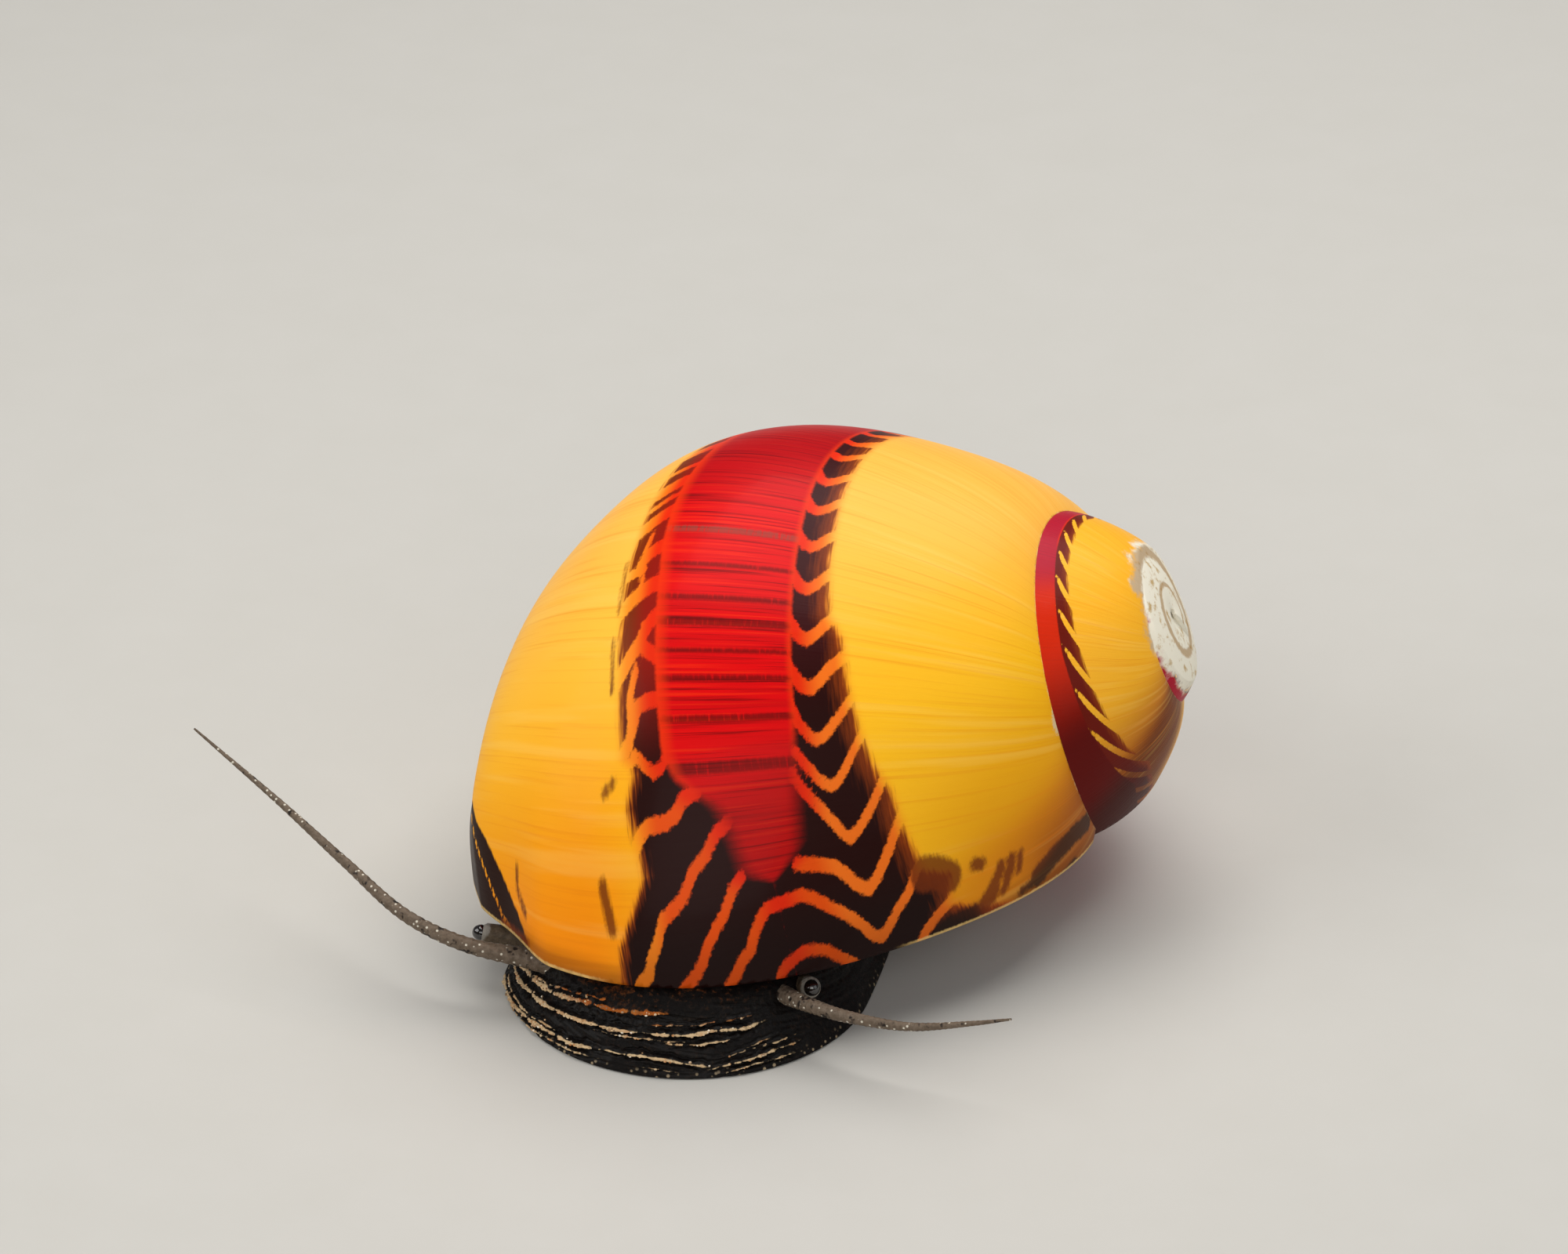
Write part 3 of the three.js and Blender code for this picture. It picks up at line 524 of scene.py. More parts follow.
# Name, place and size in millimetres, power and colour of each light
LIGHTS = (
    ("top_light", (10, 50, 130), 130, 0.2, (1.0, 0.98, 0.95)),
    ("front_light", (30, -130, 60), 110, 0.075, (1.0, 0.98, 0.95)),
    ("left_light", (-110, -60, 90), 110, 0.10, (1.0, 0.99, 0.97)),
    ("right_light", (110, -40, 60), 90, 0.02, (0.95, 0.97, 1.0)),
)
SKY = (0.85, 0.87, 0.9, 1)
SKY_STRENGTH = 0.15


# What a user may change

def srgb(red, green, blue):
    """A colour given as on a screen, from 0 to 255, for a shader."""
    parts = [part / 255 for part in (red, green, blue)]
    return tuple(p / 12.92 if p <= 0.04045 else ((p + 0.055) / 1.055) ** 2.4 for p in parts) + (1.0,)


def length(name, description, millimetres):
    return FloatProperty(name=name, description=description, default=millimetres * MM, unit="LENGTH",
                         precision=5)


def colour(name, description, *screen):
    return FloatVectorProperty(name=name, description=description, default=srgb(*screen), subtype="COLOR",
                               size=4, min=0, max=1)


def slope(name, description, degrees):
    return FloatProperty(name=name, description=description, default=math.radians(degrees),
                         subtype="ANGLE")


def factor(name, description, value, least):
    return FloatProperty(name=name, description=description, default=value, min=least)


class ShellSettings(bpy.types.PropertyGroup):
    """Sizes and colours of the shell"""
    radial_growth: factor("Radial Growth", "How much wider the coil grows with each turn", 2.27, 1.1)
    axial_growth: factor("Axial Growth", "How much further along its axis the coil grows with each turn",
                         3.08, 1.1)
    half_width: length("Half Width", "Half the width of the tube's section at the last turn", 6.03)
    half_length: length("Half Length", "Half the length of the tube's section at the last turn", 12.08)
    tilt: slope("Tilt", "Lean of the tube's section against the axis", 19.8)
    wall: length("Wall", "Thickness of the shell behind its lip", 0.75)
    edge: length("Lip Edge", "Thickness of the shell at its lip", 0.16)
    crown: colour("Crown Yellow", "The ground on the shell's crown", 252, 186, 76)
    flank: colour("Flank Yellow", "The ground towards the lip", 254, 190, 28)
    low_orange: colour("Low Orange", "The ground low on the left flank", 246, 138, 5)
    band_red: colour("Band Red", "The band along the shell", 216, 4, 8)
    band_dark: colour("Band Streaks", "Dark growth lines in the band", 120, 2, 4)
    line_orange: colour("Line Orange", "Lines that cross the ladders", 238, 112, 26)
    zone_dark: colour("Zone Brown", "The dark zone beside the band", 36, 7, 4)
    chalk: colour("Chalk", "The worn apex", 240, 234, 216)


class SkinSettings(bpy.types.PropertyGroup):
    """Sizes and colours of the head, foot and feelers"""
    ridge: length("Ridge Height", "How far the pale ridges of the snout stand up", 0.1)
    feeler_root: length("Feeler Radius", "Radius of a feeler near its root", 0.25)
    feeler_tip: length("Feeler Tip", "Radius of a feeler at its tip", 0.03)
    feeler_flare: length("Feeler Flare", "How much a feeler widens where it leaves the head", 0.36)
    grain: length("Grain Size", "Radius of the pale grains on the ridges", 0.03)
    grain_gap: length("Grain Gap", "Least distance between two grains", 0.075)
    seed: IntProperty(name="Seed", description="Draw that places the grains", default=5, min=0)
    flesh: colour("Flesh", "The head and foot", 13, 10, 9)
    cream: colour("Ridge Cream", "The snout's pale ridges", 204, 176, 136)
    tan: colour("Ridge Tan", "The snout's upper ridge", 158, 84, 28)
    feeler: colour("Feeler Brown", "The feelers", 92, 79, 66)


class EyeSettings(bpy.types.PropertyGroup):
    """Size and colour of the eyes"""
    radius: length("Radius", "Radius of an eye", 0.23)
    black: colour("Black", "The eye", 8, 6, 6)


class DoorSettings(bpy.types.PropertyGroup):
    """Sizes and colours of the deck and the lid in the shell's mouth"""
    step: length("Deck Step", "Width of the faces on the deck", 0.13)
    rib: length("Lid Rib", "Height of the growth ribs on the lid", 0.03)
    ivory: colour("Ivory", "The deck", 232, 222, 194)
    horn: colour("Horn", "The lid", 84, 58, 40)


class StageSettings(bpy.types.PropertyGroup):
    """The floor, the camera and the lights"""
    floor: colour("Floor", "The floor", 190, 188, 182)
    half_floor: length("Half Floor", "Half the width of the floor", 900)
    turn: slope("Turn", "How far the camera stands to the right of the head", 15)
    rise: slope("Rise", "How steeply the camera looks down", 30)
    distance: length("Distance", "From the camera to what it looks at", 209.7)
    lens: factor("Lens", "Focal length in millimetres", 175, 10)
    light: factor("Light", "Strength of all the lights together", 1, 0)


# Numbers

def smooth(value, start, end):
    """Runs from 0 at start to 1 at end, level at both."""
    share = np.clip((value - start) / (end - start), 0, 1)
    return share * share * (3 - 2 * share)


def mixed(first, second, share):
    return first + (second - first) * share


def unit(vectors):
    return vectors / np.maximum(np.linalg.norm(vectors, axis=-1, keepdims=True), TINY)


def along(turn, border):
    """Place of a border at each turn, from its pairs of a turn and a place."""
    return np.interp(turn, *zip(*border))


def lip_height(x, y):
    return LIP_HEIGHT + LIP_SLOPE[0] * x + LIP_SLOPE[1] * y


# Node trees

class Value:
    """A socket of a node tree that takes part in sums."""

    def __init__(self, tree, socket):
        self.tree = tree
        self.socket = socket

    def __add__(self, other):
        return self.tree.math("ADD", self, other)

    def __sub__(self, other):
        return self.tree.math("SUBTRACT", self, other)

    def __rsub__(self, other):
        return self.tree.math("SUBTRACT", other, self)

    def __mul__(self, other):
        return self.tree.math("MULTIPLY", self, other)

    def __truediv__(self, other):
        return self.tree.math("DIVIDE", self, other)

    def __pow__(self, other):
        return self.tree.math("POWER", self, other)

    __radd__ = __add__
    __rmul__ = __mul__


class Tree:
    """A node tree whose nodes are written as expressions."""

    def __init__(self, tree):
        self.tree = tree
        tree.nodes.clear()

    def node(self, kind, settings=None, inputs=None, output=0):
        made = self.tree.nodes.new(kind)
        for key, value in (settings or {}).items():
            setattr(made, key, value)
        for key, value in (inputs or {}).items():
            if isinstance(value, Value):
                self.tree.links.new(value.socket, made.inputs[key])
            else:
                made.inputs[key].default_value = value
        return Value(self, made.outputs[output]) if made.outputs else None

    def math(self, operation, first, second=0.0):
        return self.node("ShaderNodeMath", {"operation": operation}, {0: first, 1: second})

    def steps(self, value, start, end):
        """Runs from 0 to 1 as the value goes from start to end, level at both."""
        return self.node("ShaderNodeMapRange", {"interpolation_type": "SMOOTHSTEP"},
                         {"Value": value, "From Min": start, "From Max": end})

    def vector(self, x, y, z):
        return self.node("ShaderNodeCombineXYZ", None, {0: x, 1: y, 2: z})

    def parts(self, vector):
        """The three numbers of a vector."""
        first = self.node("ShaderNodeSeparateXYZ", None, {0: vector})
        return [Value(self, socket) for socket in first.socket.node.outputs]

    def scaled(self, vector, factor):
        return self.node("ShaderNodeVectorMath", {"operation": "SCALE"}, {0: vector, "Scale": factor})

    def distance(self, first, second):
        return self.node("ShaderNodeVectorMath", {"operation": "DISTANCE"}, {0: first, 1: second}, "Value")


class Shaper(Tree):
    """A tree of Geometry Nodes with named sizes."""

    def __init__(self, name, sizes):
        group = bpy.data.node_groups.new(name, "GeometryNodeTree")
        super().__init__(group)
        group.interface.new_socket("Geometry", in_out="INPUT", socket_type="NodeSocketGeometry")
        group.interface.new_socket("Geometry", in_out="OUTPUT", socket_type="NodeSocketGeometry")
        for label, start in sizes.items():
            socket = group.interface.new_socket(label, in_out="INPUT", socket_type="NodeSocketFloat")
            socket.default_value = start
        self.entry = group.nodes.new("NodeGroupInput")

    def size(self, label):
        return Value(self, self.entry.outputs[label])

    def place(self):
        """Position in millimetres."""
        return self.scaled(self.node("GeometryNodeInputPosition"), 1 / MM)

    def end(self, geometry, material):
        """Makes instances real, sets the finish and ends the tree."""
        real = self.node("GeometryNodeRealizeInstances", None, {"Geometry": geometry})
        dressed = self.node("GeometryNodeSetMaterial", None, {"Geometry": real, "Material": material})
        self.node("NodeGroupOutput", None, {"Geometry": dressed})
        return self

    def shape(self, thing, sizes):
        """Runs the tree on a thing and keeps the result as its plain mesh."""
        step = thing.modifiers.new("shape", "NODES")
        step.node_group = self.tree
        for socket in self.tree.interface.items_tree:
            if socket.in_out == "INPUT" and socket.name in sizes:
                step[socket.identifier] = sizes[socket.name]
        return baked(thing)


class Finish(Tree):
    """A material built up from washes that go by its readings, such as noises and places."""

    def __init__(self, name, settings):
        self.material = bpy.data.materials.new(name)
        self.material.use_nodes = True
        self.settings = settings
        self.readings = {}
        super().__init__(self.material.node_tree)

    def colour(self, tint):
        """A colour from a setting's name or from three screen values, or one that is already mixed."""
        if isinstance(tint, str):
            return getattr(self.settings, tint)
        return srgb(*tint) if isinstance(tint, tuple) else tint

    def share(self, *ramps):
        """The product of ramps over readings."""
        first, *rest = [self.steps(self.readings[name], start, end) for name, start, end in ramps]
        return math.prod(rest, start=first)

    def washed(self, base, washes):
        """A colour under washes, the last one on top."""
        base = self.colour(base)
        for strength, tint, *ramps in washes:
            share = self.share(*ramps)
            base = self.mix(share if strength == 1 else share * strength, base, self.colour(tint))
        return base

    def mix(self, share, first, second):
        return self.node("ShaderNodeMix", {"data_type": "RGBA"}, {0: share, 6: first, 7: second}, 2)

    def level(self, share, first, second):
        """Runs from one number to another as the share goes from 0 to 1."""
        return share * (second - first) + first

    def noise(self, place, scale, detail=2.0, roughness=0.5):
        return self.node("ShaderNodeTexNoise", None,
                         {"Vector": place, "Scale": scale, "Detail": detail, "Roughness": roughness})

    def place(self):
        """Object coordinates in millimetres."""
        return self.scaled(self.node("ShaderNodeTexCoord", output="Object"), 1 / MM)

    def attribute(self, name, output="Fac"):
        return self.node("ShaderNodeAttribute", {"attribute_name": name}, output=output)

    def spread(self, noise, amount):
        """A noise about 0 instead of about 0.5, made as wide as the amount."""
        return (noise - 0.5) * amount

    def bump(self, height, distance, strength=1.0):
        inputs = {"Height": height, "Distance": distance, "Strength": strength}
        return self.node("ShaderNodeBump", None, inputs)

    def surface(self, **sockets):
        """Ends the tree with a Principled shader, whose sockets are given by name."""
        inputs = {key.replace("_", " ").title().replace("Ior", "IOR"): value
                  for key, value in sockets.items()}
        shader = self.node("ShaderNodeBsdfPrincipled", None, inputs)
        self.node("ShaderNodeOutputMaterial", None, {"Surface": shader})
        return self.material


# Meshes

def mesh_object(name, points, faces, uv=None, edges=()):
    """A new object from points in millimetres, its faces and a pair of numbers for each corner."""
    mesh = bpy.data.meshes.new(name)
    mesh.from_pydata((np.asarray(points) * MM).tolist(), list(edges), faces)
    if uv is not None:
        layer = mesh.uv_layers.new(name="growth")
        layer.data.foreach_set("uv", np.asarray(uv, dtype=np.float32).ravel())
    made = bpy.data.objects.new(name, mesh)
    bpy.context.scene.collection.objects.link(made)
    return made


def tube(name, rings, marks=None, ends=None):
    """A closed tube through rings of points, capped at both ends by a fan."""
    rings = np.asarray(rings)
    rows, sides = rings.shape[:2]
    caps = rings[[0, -1]].mean(axis=1) if ends is None else ends
    points = np.concatenate((rings.reshape(-1, 3), caps))
    faces, uv = [], []
    for row in range(rows - 1):
        for side in range(sides):
            after = (side + 1) % sides
            corners = [(row, side), (row, after), (row + 1, after), (row + 1, side)]
            faces.append([r * sides + s for r, s in corners])
            if marks is not None:
                columns = (side, side + 1, side + 1, side)
                uv.extend((marks[0][r], marks[1][c]) for (r, _), c in zip(corners, columns))
    for row, middle, turn in ((0, rows * sides, -1), (rows - 1, rows * sides + 1, 1)):
        for side in range(sides):
            after = (side + 1) % sides
            pair = (side, after) if turn > 0 else (after, side)
            faces.append([middle, row * sides + pair[0], row * sides + pair[1]])
            if marks is not None:
                uv.extend([(marks[0][row], marks[1][0])] * 3)
    return mesh_object(name, points, faces, uv if marks is not None else None)


def right_way_out(thing):
    """Merges doubles and turns the faces outwards."""
    work = bmesh.new()
    work.from_mesh(thing.data)
    bmesh.ops.remove_doubles(work, verts=work.verts, dist=MERGE_DISTANCE)
    bmesh.ops.recalc_face_normals(work, faces=work.faces)
    work.to_mesh(thing.data)
    work.free()
    return thing


def baked(thing):
    """The object with its modifiers made part of its mesh."""
    graph = bpy.context.evaluated_depsgraph_get()
    mesh = bpy.data.meshes.new_from_object(thing.evaluated_get(graph))
    thing.modifiers.clear()
    old = thing.data
    thing.data = mesh
    mesh.name = thing.name
    bpy.data.meshes.remove(old)
    return thing


def combine(thing, other, operation):
    """Joins other to the thing or cuts it away, and drops other."""
    step = thing.modifiers.new("combine", "BOOLEAN")
    step.operation = operation
    step.solver = "MANIFOLD"
    step.object = other
    baked(thing)
    bpy.data.objects.remove(other, do_unlink=True)
    return thing


def slab(name, low, high):
    """A block between two planes that lie along the lip, low and high above it."""
    span = BLOCK_HALF_WIDTH
    corners = ((-span, -span), (span, -span), (span, span), (-span, span))
    bottom = [(x, y, lip_height(x, y) + low) for x, y in corners]
    upper = [(x, y, lip_height(x, y) + high) for x, y in corners]
    faces = [[3, 2, 1, 0], [4, 5, 6, 7], [0, 1, 5, 4], [1, 2, 6, 5], [2, 3, 7, 6], [3, 0, 4, 7]]
    return mesh_object(name, bottom + upper, faces)


def largest_surface(thing):
    """Keeps the closed surface with the most points, and drops hollows that nothing reaches."""
    work = bmesh.new()
    work.from_mesh(thing.data)
    group = {}
    sizes = []
    for vertex in work.verts:
        if vertex.index in group:
            continue
        stack, count = [vertex], 0
        group[vertex.index] = len(sizes)
        while stack:
            here = stack.pop()
            count += 1
            for edge in here.link_edges:
                other = edge.other_vert(here)
                if other.index not in group:
                    group[other.index] = len(sizes)
                    stack.append(other)
        sizes.append(count)
    keep = sizes.index(max(sizes))
    bmesh.ops.delete(work, geom=[v for v in work.verts if group[v.index] != keep], context="VERTS")
    work.to_mesh(thing.data)
    work.free()


def copy_of_node(name):
    """A merged copy of a solid of the frame."""
    made = bpy.data.objects.new("copy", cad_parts[name].data.copy())
    for layer in list(made.data.uv_layers):
        made.data.uv_layers.remove(layer)
    bpy.context.scene.collection.objects.link(made)
    return right_way_out(made)


def corner_attribute(thing, name, values):
    layer = thing.data.attributes.new(name, "FLOAT", "CORNER")
    layer.data.foreach_set("value", np.asarray(values, dtype=np.float32))


def corner_marks(thing):
    """The two numbers that each face corner carries from the law that made it."""
    marks = np.zeros(len(thing.data.loops) * 2, dtype=np.float32)
    thing.data.uv_layers["growth"].data.foreach_get("uv", marks)
    return marks.reshape(-1, 2).astype(float).T


def mark(piece, first, second):
    """Writes two numbers for each point of a piece into its corners."""
    corners = np.zeros(len(piece.data.loops), dtype=np.int32)
    piece.data.loops.foreach_get("vertex_index", corners)
    count = len(piece.data.vertices)
    layer = piece.data.uv_layers.new(name="growth")
    values = np.column_stack([np.broadcast_to(part, count) for part in (first, second)])[corners]
    layer.data.foreach_set("uv", values.astype(np.float32).ravel())
    return piece


def finish_piece(piece, nodes, material):
    """Gives a piece its finish and its place in the frame."""
    if not piece.data.polygons:
        raise RuntimeError(piece.name + " came out without faces")
    for face in piece.data.polygons:
        face.use_smooth = True
    piece.data.materials.clear()
    piece.data.materials.append(material)
    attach(piece, "root")
    if nodes:
        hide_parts(*nodes)
    return piece


# Shell

def section(s, turn, around, share):
    """The tube's section at a turn of the coil: distance from the axis, and height along it."""
    turns = (turn - GROWN_TURN) / 360.0
    angle = around * DEGREE
    swell = s.math("SINE", angle * 4.0) * SECTION_SQUARENESS + s.math("SINE", angle * 3.0) * SECTION_SKEW
    swell = (swell + 1.0) * share
    across, along = s.math("COSINE", angle), s.math("SINE", angle)
    curve = s.steps(turn, 0.0, BASE_TURN) * (BASE_CURVE_LIP - BASE_CURVE_REAR) + BASE_CURVE_REAR
    inner = s.math("LESS_THAN", across, 0.0) * s.math("LESS_THAN", along, 0.0)
    power = (curve - 1.0) * inner + 1.0
    wide, long = (s.size(size) * s.math("SIGN", part) * s.math("ABSOLUTE", part) ** power * swell
                  for size, part in (("Half Width", across), ("Half Length", along)))
    lean, upright = s.math("SINE", s.size("Tilt")), s.math("COSINE", s.size("Tilt"))
    radius = (wide * upright - long * lean + SECTION_RADIUS) * s.size("Radial Growth") ** turns
    height = (wide * lean + long * upright - SECTION_DROP) * s.size("Axial Growth") ** turns
    return radius, height


def coil_point(s, turn, radius, height):
    """A point in millimetres from its turn round the axis, its distance from it and its height along it."""
    rise, heading = math.radians(AXIS_RISE), math.radians(AXIS_TURN)
    axis = Vector((math.cos(rise) * math.cos(heading), math.cos(rise) * math.sin(heading), math.sin(rise)))
    upward = (Vector((0, 0, 1)) - axis * axis.z).normalized()
    headward = axis.cross(upward)
    angle = turn * DEGREE
    up, ahead = radius * s.math("COSINE", angle), radius * s.math("SINE", angle)
    return [height * axis[i] + up * upward[i] + ahead * headward[i] + APEX_POINT[i] for i in range(3)]


def coil_tree(material):
    """Bends a flat chart, whose points hold a turn, a place round and 0 at a cap's middle, into the coil."""
    s = Shaper("coil", {"Radial Growth": 2.0, "Axial Growth": 3.0, "Half Width": 6.0, "Half Length": 12.0,
                        "Tilt": 0.3, "Wall": 0.0, "Edge": 0.0})
    turn, around, share = s.parts(s.place())
    radius, height = section(s, turn, around, share)
    ahead = section(s, turn, around + FACING_STEP, share)
    behind = section(s, turn, around - FACING_STEP, share)
    run, climb = ahead[0] - behind[0], ahead[1] - behind[1]
    reach = s.math("MAXIMUM", s.math("SQRT", run * run + climb * climb), 1e-6)
    under = s.steps(s.math("SINE", around * DEGREE) * -1.0, TUCK_START, 1.0)
    tuck = s.steps(turn, *TUCK_TURNS) * under * LIP_TUCK

    def moved_in(depth):
        wide = s.math("MAXIMUM", radius - depth * climb / reach, AXIS_HOLE)
        high = height + depth * run / reach
        worn = s.math("MAXIMUM", high + APEX_WEAR, 0.0) * APEX_LEFT
        return coil_point(s, turn, wide, s.math("MINIMUM", high, -APEX_WEAR) + worn)

    x, y, z = moved_in(tuck)
    above_lip = z - x * LIP_SLOPE[0] - y * LIP_SLOPE[1] - LIP_HEIGHT
    wall = s.steps(above_lip, 0.0, WALL_DEPTH) * (s.size("Wall") - s.size("Edge")) + s.size("Edge")
    place = s.scaled(s.vector(*moved_in(tuck + wall)), MM)
    bent = s.node("GeometryNodeSetPosition", None, {"Geometry": s.size("Geometry"), "Position": place})
    return s.end(bent, material)


def chart(name, turns, around, closed=None):
    """A flat chart of a stretch of the coil for the coil's tree."""
    turn, place = np.meshgrid(turns, around, indexing="ij")
    ends = np.array(((turns[0], 0, 0), (turns[-1], 0, 0)))
    return tube(name, np.stack((turn, place, np.ones_like(turn)), axis=-1), closed, ends)


def build_shell(settings, material):
    """The coil as one solid, cut off at the lip and hollowed to a wall that thins towards its edge."""
    tree = coil_tree(material)
    sizes = {"Radial Growth": settings.radial_growth, "Axial Growth": settings.axial_growth,
             "Half Width": settings.half_width / MM, "Half Length": settings.half_length / MM,
             "Tilt": settings.tilt, "Wall": 0.0, "Edge": 0.0}
    columns = np.concatenate([np.arange(start, end, -step)
                              for (start, step), (end, _) in zip(COLUMNS, COLUMNS[1:])])
    closed = np.append(columns, columns[0] - 360)
    shell = None
    for (start, step), (end, _) in zip(COIL, COIL[1:]):
        rows = np.linspace(start, end, int(math.ceil((end - start) / step)) + 1)
        piece = right_way_out(tree.shape(chart("shell", rows, columns, (rows, closed)), sizes))
        shell = piece if shell is None else combine(shell, piece, "UNION")
    largest_surface(shell)
    inside = dict(sizes, Wall=settings.wall / MM, Edge=settings.edge / MM)
    room = chart("room", np.arange(*ROOM_TURNS), np.arange(*ROOM_COLUMNS))
    right_way_out(tree.shape(room, inside))
    combine(room, slab("ceiling", APERTURE_DEPTH, BLOCK_HEIGHT), "DIFFERENCE")
    combine(shell, room, "DIFFERENCE")
    combine(shell, slab("under", -BLOCK_HEIGHT, 0), "DIFFERENCE")
    largest_surface(shell)
    return shell


def line_distance(x, y, line):
    """Distance in millimetres from points to a line, both given in degrees."""
    best = np.full(x.shape, 1e3)
    for (x0, y0), (x1, y1) in zip(line, line[1:]):
        ax, ay = x0 * DEGREE_AROUND, y0 * DEGREE_TURN
        bx, by = x1 * DEGREE_AROUND - ax, y1 * DEGREE_TURN - ay
        px, py = x * DEGREE_AROUND - ax, y * DEGREE_TURN - ay
        share = np.clip((px * bx + py * by) / (bx * bx + by * by), 0, 1)
        best = np.minimum(best, np.hypot(px - share * bx, py - share * by))
    return best


def drawn_distance(x, y, lines):
    """Distance to the nearest edge of several drawn lines, below 0 inside them."""
    best = np.full(x.shape, FAR)
    for half, points in lines:
        best = np.minimum(best, line_distance(x, y, points) - half)
    return best


def rung_distance(turn, around):
    """Distance to the nearest gap between the rungs where the ladders repeat by rule."""
    small, grown = RUNG_STEPS
    first, last = RUNG_TURNS
    step = np.interp(turn, RUNG_TURNS, RUNG_STEPS)
    early = last / grown + (np.maximum(turn, first) - last) / (0.5 * (step + grown))
    early = early + np.minimum(turn - first, 0) / small
    rung = np.where(turn > last, turn / grown, early)
    right = around > RUNG_SPLIT
    rung = rung + np.where(right, np.abs(around - RIGHT_RUNG[0]) * RIGHT_RUNG[1],
                           (around - LEFT_RUNG[0]) * LEFT_RUNG[1])
    widened = (OUTER_GAP[1] * np.maximum(around - OUTER_GAP[0], 0)
               + INNER_GAP[1] * np.maximum(INNER_GAP[0] - around, 0))
    gap = np.where(right, RIGHT_GAP + widened, LEFT_GAP)
    tooth = (turn + TOOTH_TURN - TOOTH_SLANT * (around - TOOTH_ROOT)) / TOOTH_STEP
    tip = along(turn, DARK_RIGHT)
    tooth_gap = mixed(*TOOTH_GAPS, smooth(around, *(tip * share for share in TOOTH_SHARES)))
    on_spire = turn < TOOTH_END
    rung = np.where(on_spire, tooth, rung)
    return (np.abs(rung - np.round(rung)) - np.where(on_spire, tooth_gap, gap)) * step * DEGREE_TURN


def outside(turn, around, left, right):
    """How far places lie outside a strip between two borders, in millimetres, below 0 inside it."""
    return DEGREE_AROUND * np.maximum(along(turn, left) - around, around - along(turn, right))


def pattern(turn, around):
    """How far each place lies outside each mark of the shell, in millimetres of a grown shell."""
    hooks = tuple((HOOK_HALF_WIDTH, [(a, valley + b) for a, b in HOOK_SHAPE]) for valley in HOOKS)
    line = rung_distance(turn, around)
    stroke = np.full(turn.shape, FAR)
    near = (turn > DRAWN_TURN) & (around > DRAWN_BOTTOM)
    x, y = around[near], turn[near]
    line[near] = drawn_distance(x, y, LADDER_LINES + VALLEY_LINES + hooks + (BASE_LINE,))
    stroke[near] = drawn_distance(x, y, STROKES)
    return {
        "band": outside(turn, around, BAND_LEFT, BAND_RIGHT),
        "zone": outside(turn, around, DARK_LEFT, DARK_RIGHT),
        "base": outside(turn, around, ((0, BASE_END),), BASE_BORDER),
        "line": line,
        "stroke": stroke,
    }


def read_shell(f):
    """What the shell's finish goes by: its marks, growth lines, the lip, and their ragged edges."""
    read = f.readings
    turn, around, _ = f.parts(f.attribute("growth", "Vector"))
    read.update(turn=turn, around=around)
    for name in ("band", "zone", "base", "line", "stroke"):
        read[name] = f.attribute(name)
    right = f.math("MAXIMUM", around, 0.0)
    read["growth"] = turn - around * LINE_LEAN - right * right * LINE_BEND
    upright = (-LIP_SLOPE[0], -LIP_SLOPE[1], 1.0)
    height = f.node("ShaderNodeVectorMath", {"operation": "DOT_PRODUCT"}, {0: f.place(), 1: upright}, "Value")
    read["above_lip"] = height - LIP_HEIGHT
    read["chip"] = f.distance(f.vector(turn * CHIP_TURN_SCALE, around, 0.0), CHIP_PLACE)
    for name, (first, across, second, along_it, seed, detail, roughness) in NOISES.items():
        place = f.vector(read[first] * across, read[second] * along_it, seed)
        read[name] = f.noise(place, 1.0, detail, roughness)
    for name, plain, noise, amount in RAGGED:
        read[name] = read[plain] + f.spread(read[noise], amount)


def dark_colour(f, left):
    """The dark zone beside the band, with its brushed rim."""
    young = f.mix(left, f.colour(RIGHT_DARK), f.washed(LEFT_DARK, LEFT_DARK_WASHES))
    rim = f.steps(f.readings["zone_rim"], f.level(left, *RIM_STARTS), RIM_END)
    return f.mix(rim, f.washed(young, DARK_WASHES), f.colour(BRUSHED_RIM))


def band_colour(f, left, fading):
    """The red band, with its streaks, dark lines and scar."""
    read = f.readings
    streak = f.washed("band_red", STREAK_WASHES)
    crossing = [(mark, BAND_LINE_WASH, BAND_LINE_BLUR) for mark in BAND_LINES]
    crossing.append((BAND_SCAR, BAND_SCAR_WASH, BAND_SCAR_BLUR))
    for (half, turn), wash, (outer, inner) in crossing:
        read["apart"] = f.math("ABSOLUTE", read["bent_growth"] - turn)
        streak = f.washed(streak, ((*wash, ("apart", half + outer, half + inner)),))
    streak = f.washed(streak, BAND_WASHES)
    rim = f.steps(read["band_rim"], f.level(left, *BAND_RIM_STARTS), 0.0) * (1.0 - f.share(*BAND_RIM_GAP))
    return f.mix(rim * (1.0 - fading) * BAND_RIM_STRENGTH, streak, f.colour(BAND_RIM))


